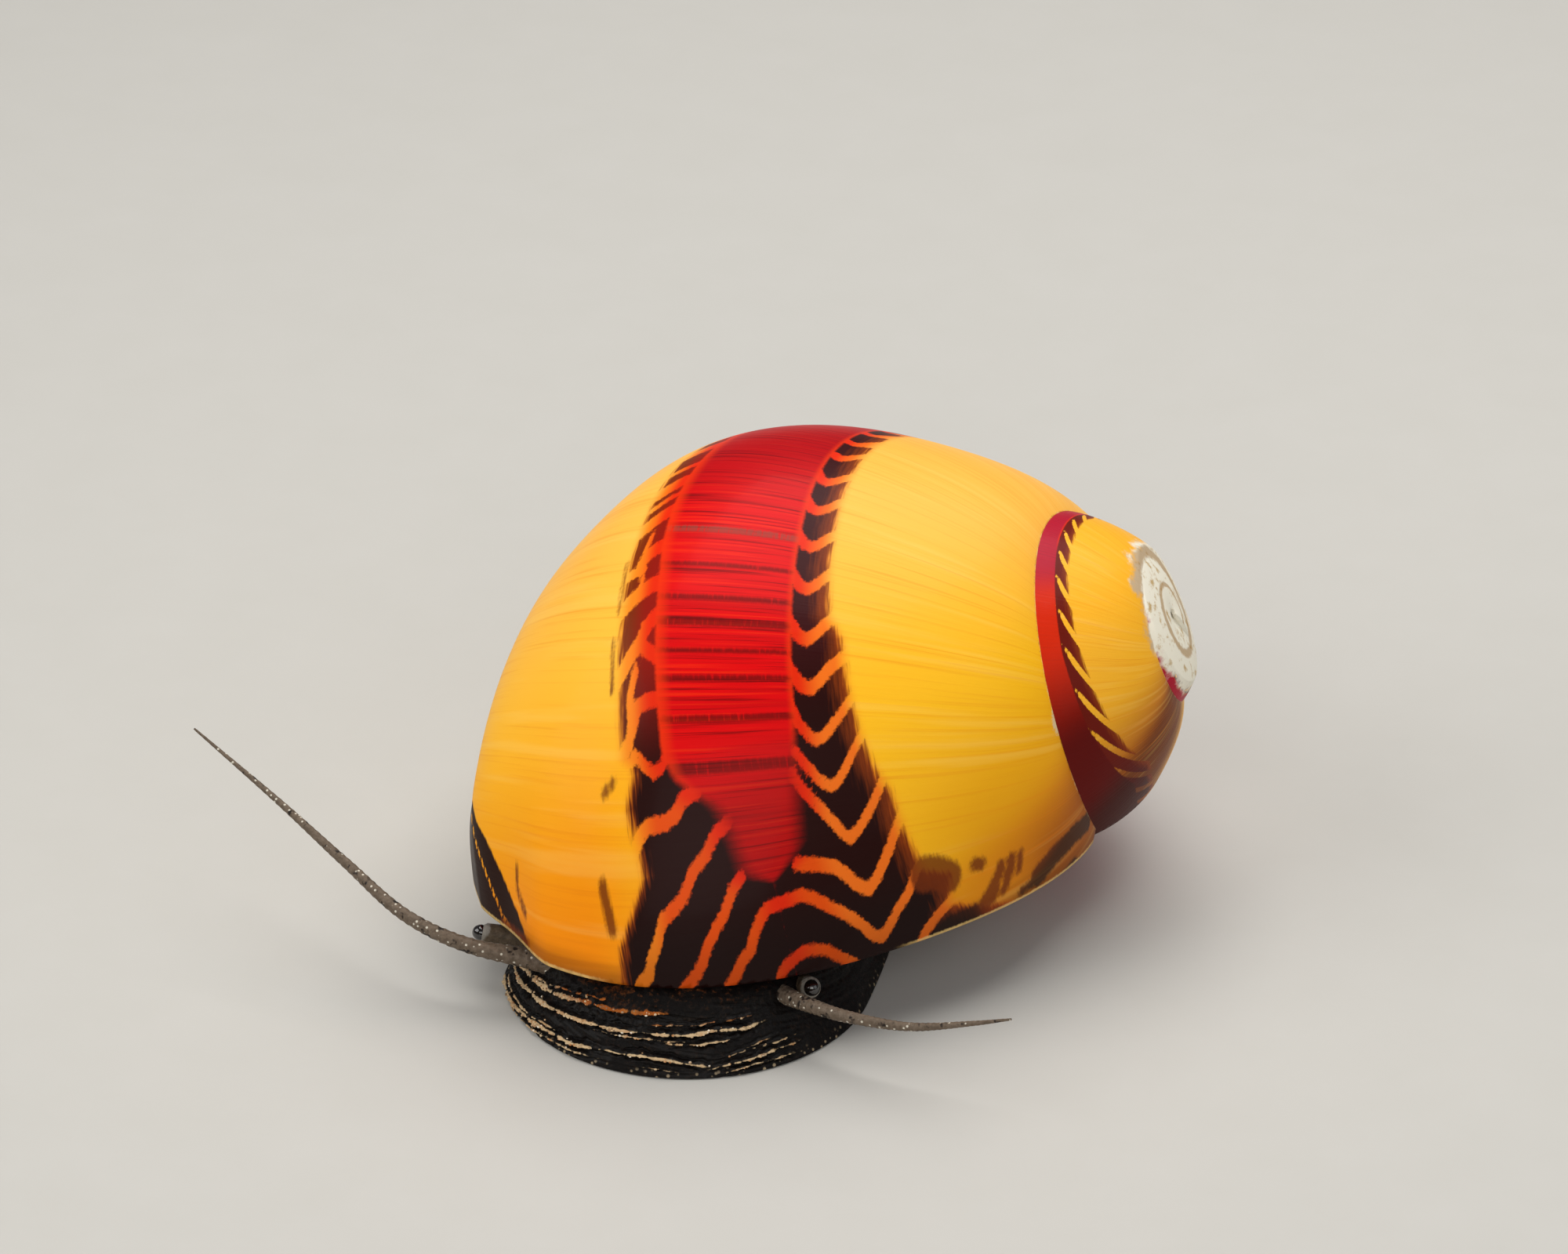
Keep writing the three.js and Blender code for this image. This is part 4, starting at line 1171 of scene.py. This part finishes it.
def shell_finish(settings):
    f = Finish("glossy_shell", settings)
    read_shell(f)
    read = f.readings
    left = f.share(LEFT_SIDE)
    paint = f.mix(f.share(*LINES_SHOW), f.washed("crown", GROUND_WASHES), f.washed(RED_LINE, LINE_WASHES))
    paint = f.mix(f.share(*DARK_SHOWS), paint, dark_colour(f, left))
    paint = f.washed(paint, (LOW_DARK_WASH,))
    strokes = f.washed(STROKE_BROWN, STROKE_WASHES)
    paint = f.mix(f.share(STROKES_SHOW) * STROKE_STRENGTH, paint, strokes)
    fading = f.share(BAND_FADES)
    soft = fading * f.share(BAND_FADES_OUT)
    edge = (soft * fades + place for place, fades in zip(BAND_EDGE, BAND_EDGE_FADES))
    in_band = f.steps(read["band_edge"], *edge)
    paint = f.mix(in_band, paint, band_colour(f, left, fading))
    paint = f.washed(paint, EDGE_WASHES)
    nibbled = f.share(NIBBLED) * NIBBLED_STRENGTH
    paint = f.mix(nibbled, paint, f.washed(NIBBLED_BROWN, NIBBLED_WASHES))
    paint = f.washed(paint, (CHIP_WASH,))
    place = f.place()
    pits = read["pits"] = f.noise(place, 2.4, 4.0, 0.65)
    read["wear"] = f.distance(place, APEX_POINT) + f.spread(f.noise(place, 1.6, 4.0, 0.6), 1.3)
    read["seam"] = f.math("ABSOLUTE", read["around"] - SEAM_PLACE) + f.spread(pits, 12.0)
    worn = f.share(WORN)
    paint = f.mix(worn, paint, f.washed("chalk", CHALK_WASHES))
    height = (read["fine"] * 0.6 + read["broad"] * 0.5) * (1.0 - worn) + (pits - f.share(SEAM) * 0.6) * worn
    roughness = f.level(worn, f.level(read["fine"], 0.36, 0.48), 0.65)
    return f.surface(base_color=paint, roughness=roughness, normal=f.bump(height, BUMP, 0.6),
                     coat_weight=(1.0 - worn) * 0.04, coat_roughness=0.14, specular_ior_level=0.08)


# Skin

def sole_edge(angle):
    """Edge of the sole at an angle in radians, where 0 is +X and a quarter turn the tail."""
    tail = np.maximum(np.sin(angle), 0)
    reach = np.where(np.sin(angle) > 0, SOLE_TAIL, SOLE_RADIUS)
    return np.stack((SOLE_CENTRE[0] + SOLE_RADIUS * np.cos(angle) + TAIL_SHIFT * tail ** 2,
                     SOLE_CENTRE[1] + reach * np.sin(angle)), axis=-1)


def sole_normal(angle):
    reach = np.where(np.sin(angle) > 0, SOLE_TAIL, SOLE_RADIUS)
    return unit(np.stack((np.cos(angle) / SOLE_RADIUS, np.sin(angle) / reach), axis=-1))


def back_height(x, y):
    """Height of the back of the foot: just under the lip in front, then down to the tail."""
    tail = mixed(BACK_HEIGHT, TAIL_HEIGHT, smooth(y, NECK_END, TAIL_END))
    return mixed(lip_height(x, y) - LIP_GAP, tail, smooth(y, 0, NECK_END))


def waver(angle, seed):
    """A slow, uneven wave along the margin, between about -1 and 1."""
    total = np.zeros_like(angle)
    for step, (rate, size) in enumerate(WAVES):
        total += size * np.sin(rate * angle + seed * (2.3 + step * 1.7))
    return total


def rippled(angle, seed, size, waves):
    """A size that waves of a rate, a seed of their own and a size make larger and smaller."""
    return size + sum(part * waver(angle * rate, seed + shift) for rate, shift, part in waves)


def ridges(angle, share):
    """How strongly a pale ridge runs through places of the head's flank, below 0 in the grooves by it."""
    degrees = np.degrees(angle)
    crest = np.zeros(np.broadcast(angle, share).shape)
    groove = np.zeros_like(crest)
    for seed, (half, strength, points) in enumerate(RIDGES):
        turns, shares = zip(*points)
        place = np.interp(degrees, turns, shares) + RIDGE_WAVER * waver(angle * 3, seed)
        inside = smooth(degrees, *(turns[0] + past for past in RIDGE_STARTS))
        inside = inside * smooth(degrees, *(turns[-1] + past for past in RIDGE_ENDS)) * strength
        beads = np.clip(rippled(angle, seed, BEAD_SIZE, BEAD_WAVES), *BEAD_LIMITS)
        offset = (share - place) / (half * rippled(angle, seed, WIDTH_SIZE, (WIDTH_WAVE,)))
        crest = np.maximum(crest, inside * beads * np.exp(-offset ** 2))
        beside = (np.abs(offset) - GROOVE_PLACE) / GROOVE_WIDTH
        groove = np.maximum(groove, inside * np.exp(-beside ** 2))
    return crest - GROOVE_DEPTH * groove * (crest < GROOVE_LIMIT)


def wall_ring(angles, share, ridge_height):
    """A ring of the skin at a share of its height, with its lumps and ridges."""
    end = np.where(np.sin(angles) > 0, TAIL_INSET, FRONT_INSET)
    wall = mixed(FLANK_INSET, end, np.sin(angles) ** 2)
    high = WALL_SHARES[1]
    inset = ROUNDING if share == 0 else min(share / high, 1) ** WALL_CURVE * SHOULDER
    inset += smooth(share, high, 1.0) * TOP_INSET
    lumps = mixed(*LUMPS, smooth(share, *LUMPS_GROW)) * waver(angles * 4 + share * 9, 3)
    lumps = lumps * smooth(share, *LUMPS_START)
    raised = (ridges(angles, share) + lumps) * ridge_height
    plane = sole_edge(angles) - sole_normal(angles) * (wall * inset - raised)[:, None]
    return np.column_stack((plane, share * back_height(*plane.T)))


def skin_body(ridge_height):
    """The foot and head as one closed skin, marked with its angle and height share."""
    front = np.linspace(-math.pi, 0, FRONT_SIDES, endpoint=False)
    rear = np.linspace(0, math.pi, REAR_SIDES, endpoint=False)
    angles = np.concatenate((front, rear))
    marks = [0.0, *np.linspace(*WALL_SHARES, WALL_ROWS), *TOP_SHARES]
    rings = [wall_ring(angles, share, ridge_height) for share in marks]
    last = rings[-1][:, :2]
    centre = np.array(SOLE_CENTRE)
    for shrink, lift in BACK_RINGS:
        plane = centre + (last - centre) * shrink
        top = back_height(*plane.T) + lift * smooth(plane[:, 1], *BACK_LIFT)
        rings.append(np.column_stack((plane, top)))
        marks.append(BACK_MARK)
    body = tube("skin", rings)
    mark(body, np.append(np.tile(angles, len(marks)), (0, 0)),
         np.append(np.repeat(marks, len(angles)), (0, BACK_MARK)))
    return right_way_out(body)


def catmull_rom(points, count):
    """A smooth path through points, with knots set by the root of their spacing."""
    points = np.asarray(points, dtype=float)
    full = np.vstack((2 * points[0] - points[1], points, 2 * points[-1] - points[-2]))
    path = []
    for a, b, c, d in zip(full, full[1:], full[2:], full[3:]):
        knots = [0.0]
        for first, second in ((a, b), (b, c), (c, d)):
            knots.append(knots[-1] + math.sqrt(np.linalg.norm(second - first)))
        for when in np.linspace(knots[1], knots[2], PATH_STEPS, endpoint=False):
            def blend(p, q, start, end):
                return p + (q - p) * ((when - start) / (end - start))
            ab = blend(a, b, knots[0], knots[1])
            bc = blend(b, c, knots[1], knots[2])
            cd = blend(c, d, knots[2], knots[3])
            abc = blend(ab, bc, knots[0], knots[2])
            bcd = blend(bc, cd, knots[1], knots[3])
            path.append(blend(abc, bcd, knots[1], knots[2]))
    path.append(points[-1])
    path = np.array(path)
    walked = np.append(0, np.cumsum(np.linalg.norm(np.diff(path, axis=0), axis=1)))
    even = np.linspace(0, walked[-1], count)
    return np.column_stack([np.interp(even, walked, path[:, axis]) for axis in range(3)])


def feeler_tree(material):
    """Grows a ringed, tapering feeler along a path."""
    s = Shaper("feeler", {"Root Radius": 0.22, "Tip Radius": 0.03, "Flare": 0.36})
    line = s.node("GeometryNodeMeshToCurve", None, {"Mesh": s.size("Geometry")})
    share = s.node("GeometryNodeSplineParameter")
    root, tip = s.size("Root Radius"), s.size("Tip Radius")
    taper = (1.0 - share) ** FEELER_TAPER * (root - tip) + tip
    flare = s.size("Flare") * s.math("EXPONENT", share * -FLARE_FALL)
    rate, swell = FEELER_RINGS
    radius = (taper * (s.math("SINE", share * rate) * swell + 1.0) + flare) * MM
    line = s.node("GeometryNodeStoreNamedAttribute", {"data_type": "FLOAT", "domain": "POINT"},
                  {"Geometry": line, "Name": "along", "Value": share})
    ring = s.node("GeometryNodeCurvePrimitiveCircle", None, {"Resolution": FEELER_SIDES, "Radius": 1.0})
    body = s.node("GeometryNodeCurveToMesh", None,
                  {"Curve": line, "Profile Curve": ring, "Scale": radius, "Fill Caps": True})
    place = s.node("GeometryNodeInputNamedAttribute", {"data_type": "FLOAT"}, {"Name": "along"})
    body = s.node("GeometryNodeStoreNamedAttribute", {"data_type": "FLOAT2", "domain": "CORNER"},
                  {"Geometry": body, "Name": "growth", "Value": s.vector(0.0, place + FEELER_MARK, 0.0)})
    return s.end(body, material)


def stalk(side):
    """The short stalk of an eye, flared at its root and open round the eye."""
    root, eye = np.array(STALK_ROOTS[side]), np.array(EYE_PLACES[side])
    reach = eye + unit(eye - root) * STALK_PAST_EYE - root
    shares = np.linspace(0, 1, STALK_ROWS)
    profile = list(zip(shares * np.linalg.norm(reach), along(shares, STALK_PROFILE)))
    return mark(lathe("stalk", root, reach, profile, STALK_SIDES), 0, STALK_MARK)


def grain_tree(material):
    """Scatters pale grains where the ridges run."""
    s = Shaper("grains", {"Size": 0.034 * MM, "Gap": 0.07 * MM, "Seed": 0.0})
    ridge = s.node("GeometryNodeInputNamedAttribute", {"data_type": "FLOAT"}, {"Name": "ridge"})
    height = s.parts(s.place())[2]
    scatter = s.node("GeometryNodeDistributePointsOnFaces", {"distribute_method": "POISSON"}, {
        "Mesh": s.size("Geometry"),
        "Distance Min": s.size("Gap"),
        "Density Max": GRAIN_DENSITY,
        "Density Factor": s.steps(ridge, *GRAIN_RIDGE) * s.steps(height, *GRAIN_HEIGHT),
        "Seed": s.size("Seed"),
    })
    bead = s.node("GeometryNodeMeshIcoSphere", None, {"Radius": s.size("Size"), "Subdivisions": 2})
    least, most = GRAIN_SIZES
    grow = s.node("FunctionNodeRandomValue", {"data_type": "FLOAT"}, {2: least, 3: most, "Seed": 3}, 1)
    stretch = s.vector(*(grow * part for part in GRAIN_STRETCH))
    turned = Value(s, scatter.socket.node.outputs["Rotation"])
    placed = s.node("GeometryNodeInstanceOnPoints", None,
                    {"Points": scatter, "Instance": bead, "Rotation": turned, "Scale": stretch})
    return s.end(placed, material)


def skin_finish(settings):
    f = Finish("snail_skin", settings)
    read = f.readings
    place = f.place()
    share = f.parts(f.attribute("growth", "Vector"))[1]
    coarse = f.noise(place, 1.4, 4.0, 0.6)
    fine = f.noise(place, 7.0, 4.0, 0.65)
    cells = f.node("ShaderNodeTexVoronoi", None, {"Vector": place, "Scale": 5.5}, "Distance")
    read.update(share=share, coarse=coarse, fine=fine, cells=cells, mottle=coarse + fine)
    read["wavy_share"] = share + f.spread(coarse, 0.3)
    read["broken_ridge"] = f.attribute("ridge") + f.spread(fine, 0.7) + f.spread(coarse, 0.3)
    read["spots"] = f.noise(place, 4.0)
    # Distance from the eyes, which places the painted highlight round them
    eyes = f.math("MINIMUM", *(f.distance(place, eye) for eye in EYE_PLACES.values()))
    read["painted_eye_highlight"] = eyes + f.spread(coarse, 0.4)
    flesh = f.washed("flesh", FLESH_WASHES)
    flesh = f.mix(f.share(RIDGES_SHOW), flesh, f.washed("cream", RIDGE_WASHES))
    flesh = f.washed(flesh, FOOT_WASHES)
    feeler = f.washed("feeler", FEELER_WASHES)
    eye_stalk = f.mix(fine, f.colour(STALK_DARK), f.colour(STALK_PALE))
    paint = f.mix(f.steps(share, FEELER_MARK - 0.1, FEELER_MARK), flesh, feeler)
    paint = f.mix(f.steps(share, STALK_MARK - 0.5, STALK_MARK), paint, eye_stalk)
    paint = f.washed(paint, LAST_SKIN_WASHES)
    shaded = f.share(*SHADED)
    return f.surface(base_color=paint, roughness=f.level(coarse, 0.3, 0.55) + shaded * 0.3,
                     normal=f.bump(fine + cells * 0.6, SKIN_BUMP, 0.9), coat_weight=(1.0 - shaded) * 0.06,
                     coat_roughness=0.12, specular_ior_level=0.09)


def grain_finish(settings):
    f = Finish("pale_grains", settings)
    place = f.place()
    tint = f.noise(place, 3.0, 3.0, 0.6)
    f.readings.update(tint=tint, patches=f.noise(place, 1.1), sparks=f.noise(place, 5.0))
    return f.surface(base_color=f.washed("cream", GRAIN_WASHES), roughness=f.level(tint, 0.3, 0.45),
                     coat_weight=0.2, coat_roughness=0.15)


# Eyes, deck and lid

def lathe(name, centre, direction, profile, sides=40):
    """A closed solid turned about a direction, from pairs of place along it and radius."""
    direction = unit(np.asarray(direction, dtype=float))
    side = unit(np.cross(direction, (0, 0, 1.0)))
    top = np.cross(side, direction)
    angles = np.linspace(0, 2 * math.pi, sides, endpoint=False)
    rings = [np.asarray(centre) + direction * along + radius * (np.outer(np.cos(angles), side)
             + np.outer(np.sin(angles), top)) for along, radius in profile]
    return right_way_out(tube(name, rings))


def eye_ball(side, radius):
    """An eye that looks the way its stalk points, with a bulging pupil."""
    profile = []
    for angle in np.linspace(0.02, math.pi - 0.02, EYE_ROWS):
        ahead = -math.cos(angle)
        bulge = 1 + PUPIL_BULGE * smooth(ahead, *PUPIL_EDGE)
        profile.append((radius * ahead * bulge, radius * math.sin(angle)))
    direction = np.array(EYE_PLACES[side]) - np.array(STALK_ROOTS[side])
    return lathe("eyeball_" + side, EYE_PLACES[side], direction, profile)


def eye_finish(settings):
    f = Finish("wet_eye", settings)
    grain = f.noise(f.place(), 12.0, 3.0, 0.6)
    paint = f.mix(grain, settings.black, f.colour(EYE_BROWN))
    return f.surface(base_color=paint, roughness=f.level(grain, 0.04, 0.1), coat_weight=1.0,
                     coat_roughness=0.02)


def deck_finish(settings):
    f = Finish("glazed_callus", settings)
    place = f.place()
    grain = f.noise(place, 5.0, 4.0, 0.6)
    f.readings.update(cloud=f.noise(place, 0.45, 3.0, 0.5), grain=grain)
    return f.surface(base_color=f.washed("ivory", DECK_WASHES), roughness=f.level(grain, 0.2, 0.34),
                     normal=f.bump(grain, BUMP, 0.5), coat_weight=0.6, coat_roughness=0.1)


def lid_shape(rib_height):
    """A half-round lid with growth ribs round its nucleus, in the frame's own box for it."""
    low, high = (np.array(corner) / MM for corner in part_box("operculum"))
    middle = (low + high) / 2
    thick = high[2] - low[2]
    angles = np.linspace(0, math.pi, LID_ARC_POINTS)
    arc = np.column_stack((np.cos(angles), np.sin(angles)))
    straight = np.linspace(-1, 1, LID_CHORD_POINTS)[1:-1]
    outline = np.vstack((arc, np.column_stack((straight, np.zeros_like(straight)))))
    half = (high[:2] - low[:2]) * (0.5, 1)
    nucleus = np.array(LID_NUCLEUS)
    shares = np.linspace(LID_FIRST_RING, 1, LID_RINGS)
    rings = []
    for face, order in ((-1, shares), (1, shares[::-1])):
        for share in order:
            x, y = ((nucleus + (outline - nucleus) * share) * half).T
            rib = rib_height * math.sin(share * LID_RIB_RATE) * smooth(share, *LID_RIBS_START)
            edge = 0.5 * math.sqrt(max(1 - share ** LID_EDGE_POWER, 0.0))
            z = middle[2] + face * edge * (thick * LID_FACE + rib)
            rings.append(np.column_stack((middle[0] + x, low[1] + y, np.full_like(x, z))))
    return right_way_out(tube("lid", rings))


def lid_finish(settings):
    f = Finish("horny_lid", settings)
    place = f.place()
    grain = f.readings["grain"] = f.noise(place, 2.5, 4.0, 0.6)
    rings = f.node("ShaderNodeTexWave", {"wave_type": "RINGS", "rings_direction": "Z"},
                   {"Vector": place, "Scale": 1.1, "Distortion": 1.5, "Detail": 2.0})
    paint = f.washed(f.mix(rings, settings.horn, f.colour(LID_DARK)), LID_WASHES)
    return f.surface(base_color=paint, roughness=f.level(grain, 0.3, 0.5),
                     normal=f.bump(rings + grain, BUMP, 0.5), coat_weight=0.4, coat_roughness=0.2)


# Stage

def aim(thing, target):
    """Points a light or camera at a place."""
    thing.rotation_euler = (Vector(target) - thing.location).to_track_quat("-Z", "Y").to_euler()


def build_floor(settings):
    half = settings.half_floor / MM
    corners = [(-half, -half, 0), (half, -half, 0), (half, half, 0), (-half, half, 0)]
    floor = mesh_object("floor", corners, [[0, 1, 2, 3]])
    f = Finish("pale_floor", settings)
    grain = f.noise(f.place(), 0.4, 4.0, 0.6)
    paint = f.mix(grain, settings.floor, f.colour(FLOOR_GRAIN))
    floor.data.materials.append(f.surface(base_color=paint, roughness=0.7))


def build_camera(settings):
    turn, rise = settings.turn, settings.rise
    back = Vector((math.sin(turn) * math.cos(rise), -math.cos(turn) * math.cos(rise), math.sin(rise)))
    data = bpy.data.cameras.new("camera")
    data.lens = settings.lens
    data.sensor_width = SENSOR
    data.clip_start = NEAREST
    camera = bpy.data.objects.new("camera", data)
    camera.location = LOOK_AT + back * settings.distance
    bpy.context.scene.collection.objects.link(camera)
    aim(camera, LOOK_AT)
    bpy.context.scene.camera = camera


def build_lights(settings):
    for name, place, size, power, tint in LIGHTS:
        light = bpy.data.lights.new(name, "AREA")
        light.shape = "SQUARE"
        light.size = size * MM
        light.energy = power * settings.light
        light.color = tint
        lamp = bpy.data.objects.new(name, light)
        lamp.location = Vector(place) * MM
        bpy.context.scene.collection.objects.link(lamp)
        aim(lamp, LOOK_AT)
    world = bpy.data.worlds.new("studio")
    world.use_nodes = True
    background = world.node_tree.nodes["Background"].inputs
    background["Color"].default_value = SKY
    background["Strength"].default_value = SKY_STRENGTH * settings.light
    bpy.context.scene.world = world
    bpy.context.scene.view_settings.view_transform = "Standard"


# Operators

class SNAIL_OT_shell(bpy.types.Operator):
    """Build the coiled shell with its pattern"""
    bl_idname = "snail.shell"
    bl_label = "Shell"

    def execute(self, context):
        settings = context.scene.snail_shell
        material = shell_finish(settings)
        shell = build_shell(settings, material)
        for name, values in pattern(*corner_marks(shell)).items():
            corner_attribute(shell, name, values)
        finish_piece(shell, ("shell_body_whorl", "shell_spire_whorl", "shell_apex"), material)
        return {"FINISHED"}


class SNAIL_OT_deck(bpy.types.Operator):
    """Build the glazed deck across the shell's mouth"""
    bl_idname = "snail.deck"
    bl_label = "Deck"

    def execute(self, context):
        settings = context.scene.snail_doors
        deck = copy_of_node("shell_columellar_deck")
        deck.name = "callus_deck"
        even = deck.modifiers.new("even", "REMESH")
        even.mode = "VOXEL"
        even.voxel_size = settings.step
        ease = deck.modifiers.new("ease", "SMOOTH")
        ease.factor = DECK_EASE
        ease.iterations = DECK_EASE_STEPS
        finish_piece(baked(deck), ("shell_columellar_deck",), deck_finish(settings))
        return {"FINISHED"}


class SNAIL_OT_lid(bpy.types.Operator):
    """Build the horny lid that the foot carries"""
    bl_idname = "snail.lid"
    bl_label = "Lid"

    def execute(self, context):
        settings = context.scene.snail_doors
        finish_piece(lid_shape(settings.rib / MM), ("operculum",), lid_finish(settings))
        return {"FINISHED"}


class SNAIL_OT_skin(bpy.types.Operator):
    """Build head, foot, feelers and eye stalks as one skin"""
    bl_idname = "snail.skin"
    bl_label = "Skin"

    def execute(self, context):
        settings = context.scene.snail_skin
        material = skin_finish(settings)
        tree = feeler_tree(material)
        sizes = {"Root Radius": settings.feeler_root / MM, "Tip Radius": settings.feeler_tip / MM,
                 "Flare": settings.feeler_flare / MM}
        body = skin_body(settings.ridge / MM)
        for side, points in FEELER_PATHS.items():
            path = catmull_rom(points, FEELER_POINTS)
            edges = [(i, i + 1) for i in range(len(path) - 1)]
            feeler = tree.shape(mesh_object("feeler", path, [], None, edges), sizes)
            combine(body, right_way_out(feeler), "UNION")
            combine(body, stalk(side), "UNION")
        combine(body, mark(copy_of_node("mantle_edge"), 0, MANTLE_MARK), "UNION")
        largest_surface(body)
        angle, share = corner_marks(body)
        flank = (share <= BACK_MARK) & (angle < 0)
        corner_attribute(body, "ridge", np.where(flank, ridges(angle, np.minimum(share, 1)), 0))
        finish_piece(body, SKIN_NODES, material)
        return {"FINISHED"}


class SNAIL_OT_grains(bpy.types.Operator):
    """Scatter pale grains along the ridges of the snout"""
    bl_idname = "snail.grains"
    bl_label = "Grains"

    def execute(self, context):
        settings = context.scene.snail_skin
        skin = bpy.data.objects.get("skin")
        if skin is None:
            raise RuntimeError("the skin comes before its grains")
        grains = bpy.data.objects.new("snout_grains", skin.data.copy())
        context.scene.collection.objects.link(grains)
        material = grain_finish(settings)
        sizes = {"Size": settings.grain, "Gap": settings.grain_gap, "Seed": float(settings.seed)}
        grain_tree(material).shape(grains, sizes)
        finish_piece(grains, (), material)
        return {"FINISHED"}


class SNAIL_OT_eyes(bpy.types.Operator):
    """Build both eyes on their stalks"""
    bl_idname = "snail.eyes"
    bl_label = "Eyes"

    def execute(self, context):
        settings = context.scene.snail_eyes
        material = eye_finish(settings)
        for side in EYE_PLACES:
            finish_piece(eye_ball(side, settings.radius / MM), ("eye_" + side,), material)
        return {"FINISHED"}


class SNAIL_OT_stage(bpy.types.Operator):
    """Set up the floor, the camera and the lights"""
    bl_idname = "snail.stage"
    bl_label = "Stage"

    def execute(self, context):
        settings = context.scene.snail_stage
        build_floor(settings)
        build_camera(settings)
        build_lights(settings)
        return {"FINISHED"}


SETTINGS = {"snail_shell": ShellSettings, "snail_skin": SkinSettings, "snail_eyes": EyeSettings,
            "snail_doors": DoorSettings, "snail_stage": StageSettings}
OPERATORS = (SNAIL_OT_stage, SNAIL_OT_shell, SNAIL_OT_deck, SNAIL_OT_lid, SNAIL_OT_skin, SNAIL_OT_grains,
             SNAIL_OT_eyes)


class SNAIL_PT_builder(bpy.types.Panel):
    """Lists the snail's pieces and their settings"""
    bl_idname = "SNAIL_PT_builder"
    bl_label = "Nerite Snail"
    bl_space_type = "VIEW_3D"
    bl_region_type = "UI"
    bl_category = "Snail"

    def draw(self, context):
        for operator in OPERATORS:
            self.layout.operator(operator.bl_idname)
        for name, group in SETTINGS.items():
            box = self.layout.box()
            for field in group.__annotations__:
                box.prop(getattr(context.scene, name), field)


def register():
    for name, group in SETTINGS.items():
        bpy.utils.register_class(group)
        setattr(bpy.types.Scene, name, PointerProperty(type=group))
    for made in OPERATORS + (SNAIL_PT_builder,):
        bpy.utils.register_class(made)


def unregister():
    for made in reversed(OPERATORS + (SNAIL_PT_builder,)):
        bpy.utils.unregister_class(made)
    for name, group in SETTINGS.items():
        delattr(bpy.types.Scene, name)
        bpy.utils.unregister_class(group)


def main():
    register()
    for operator in OPERATORS:
        family, name = operator.bl_idname.split(".")
        getattr(getattr(bpy.ops, family), name)()


if __name__ == "__main__":
    main()
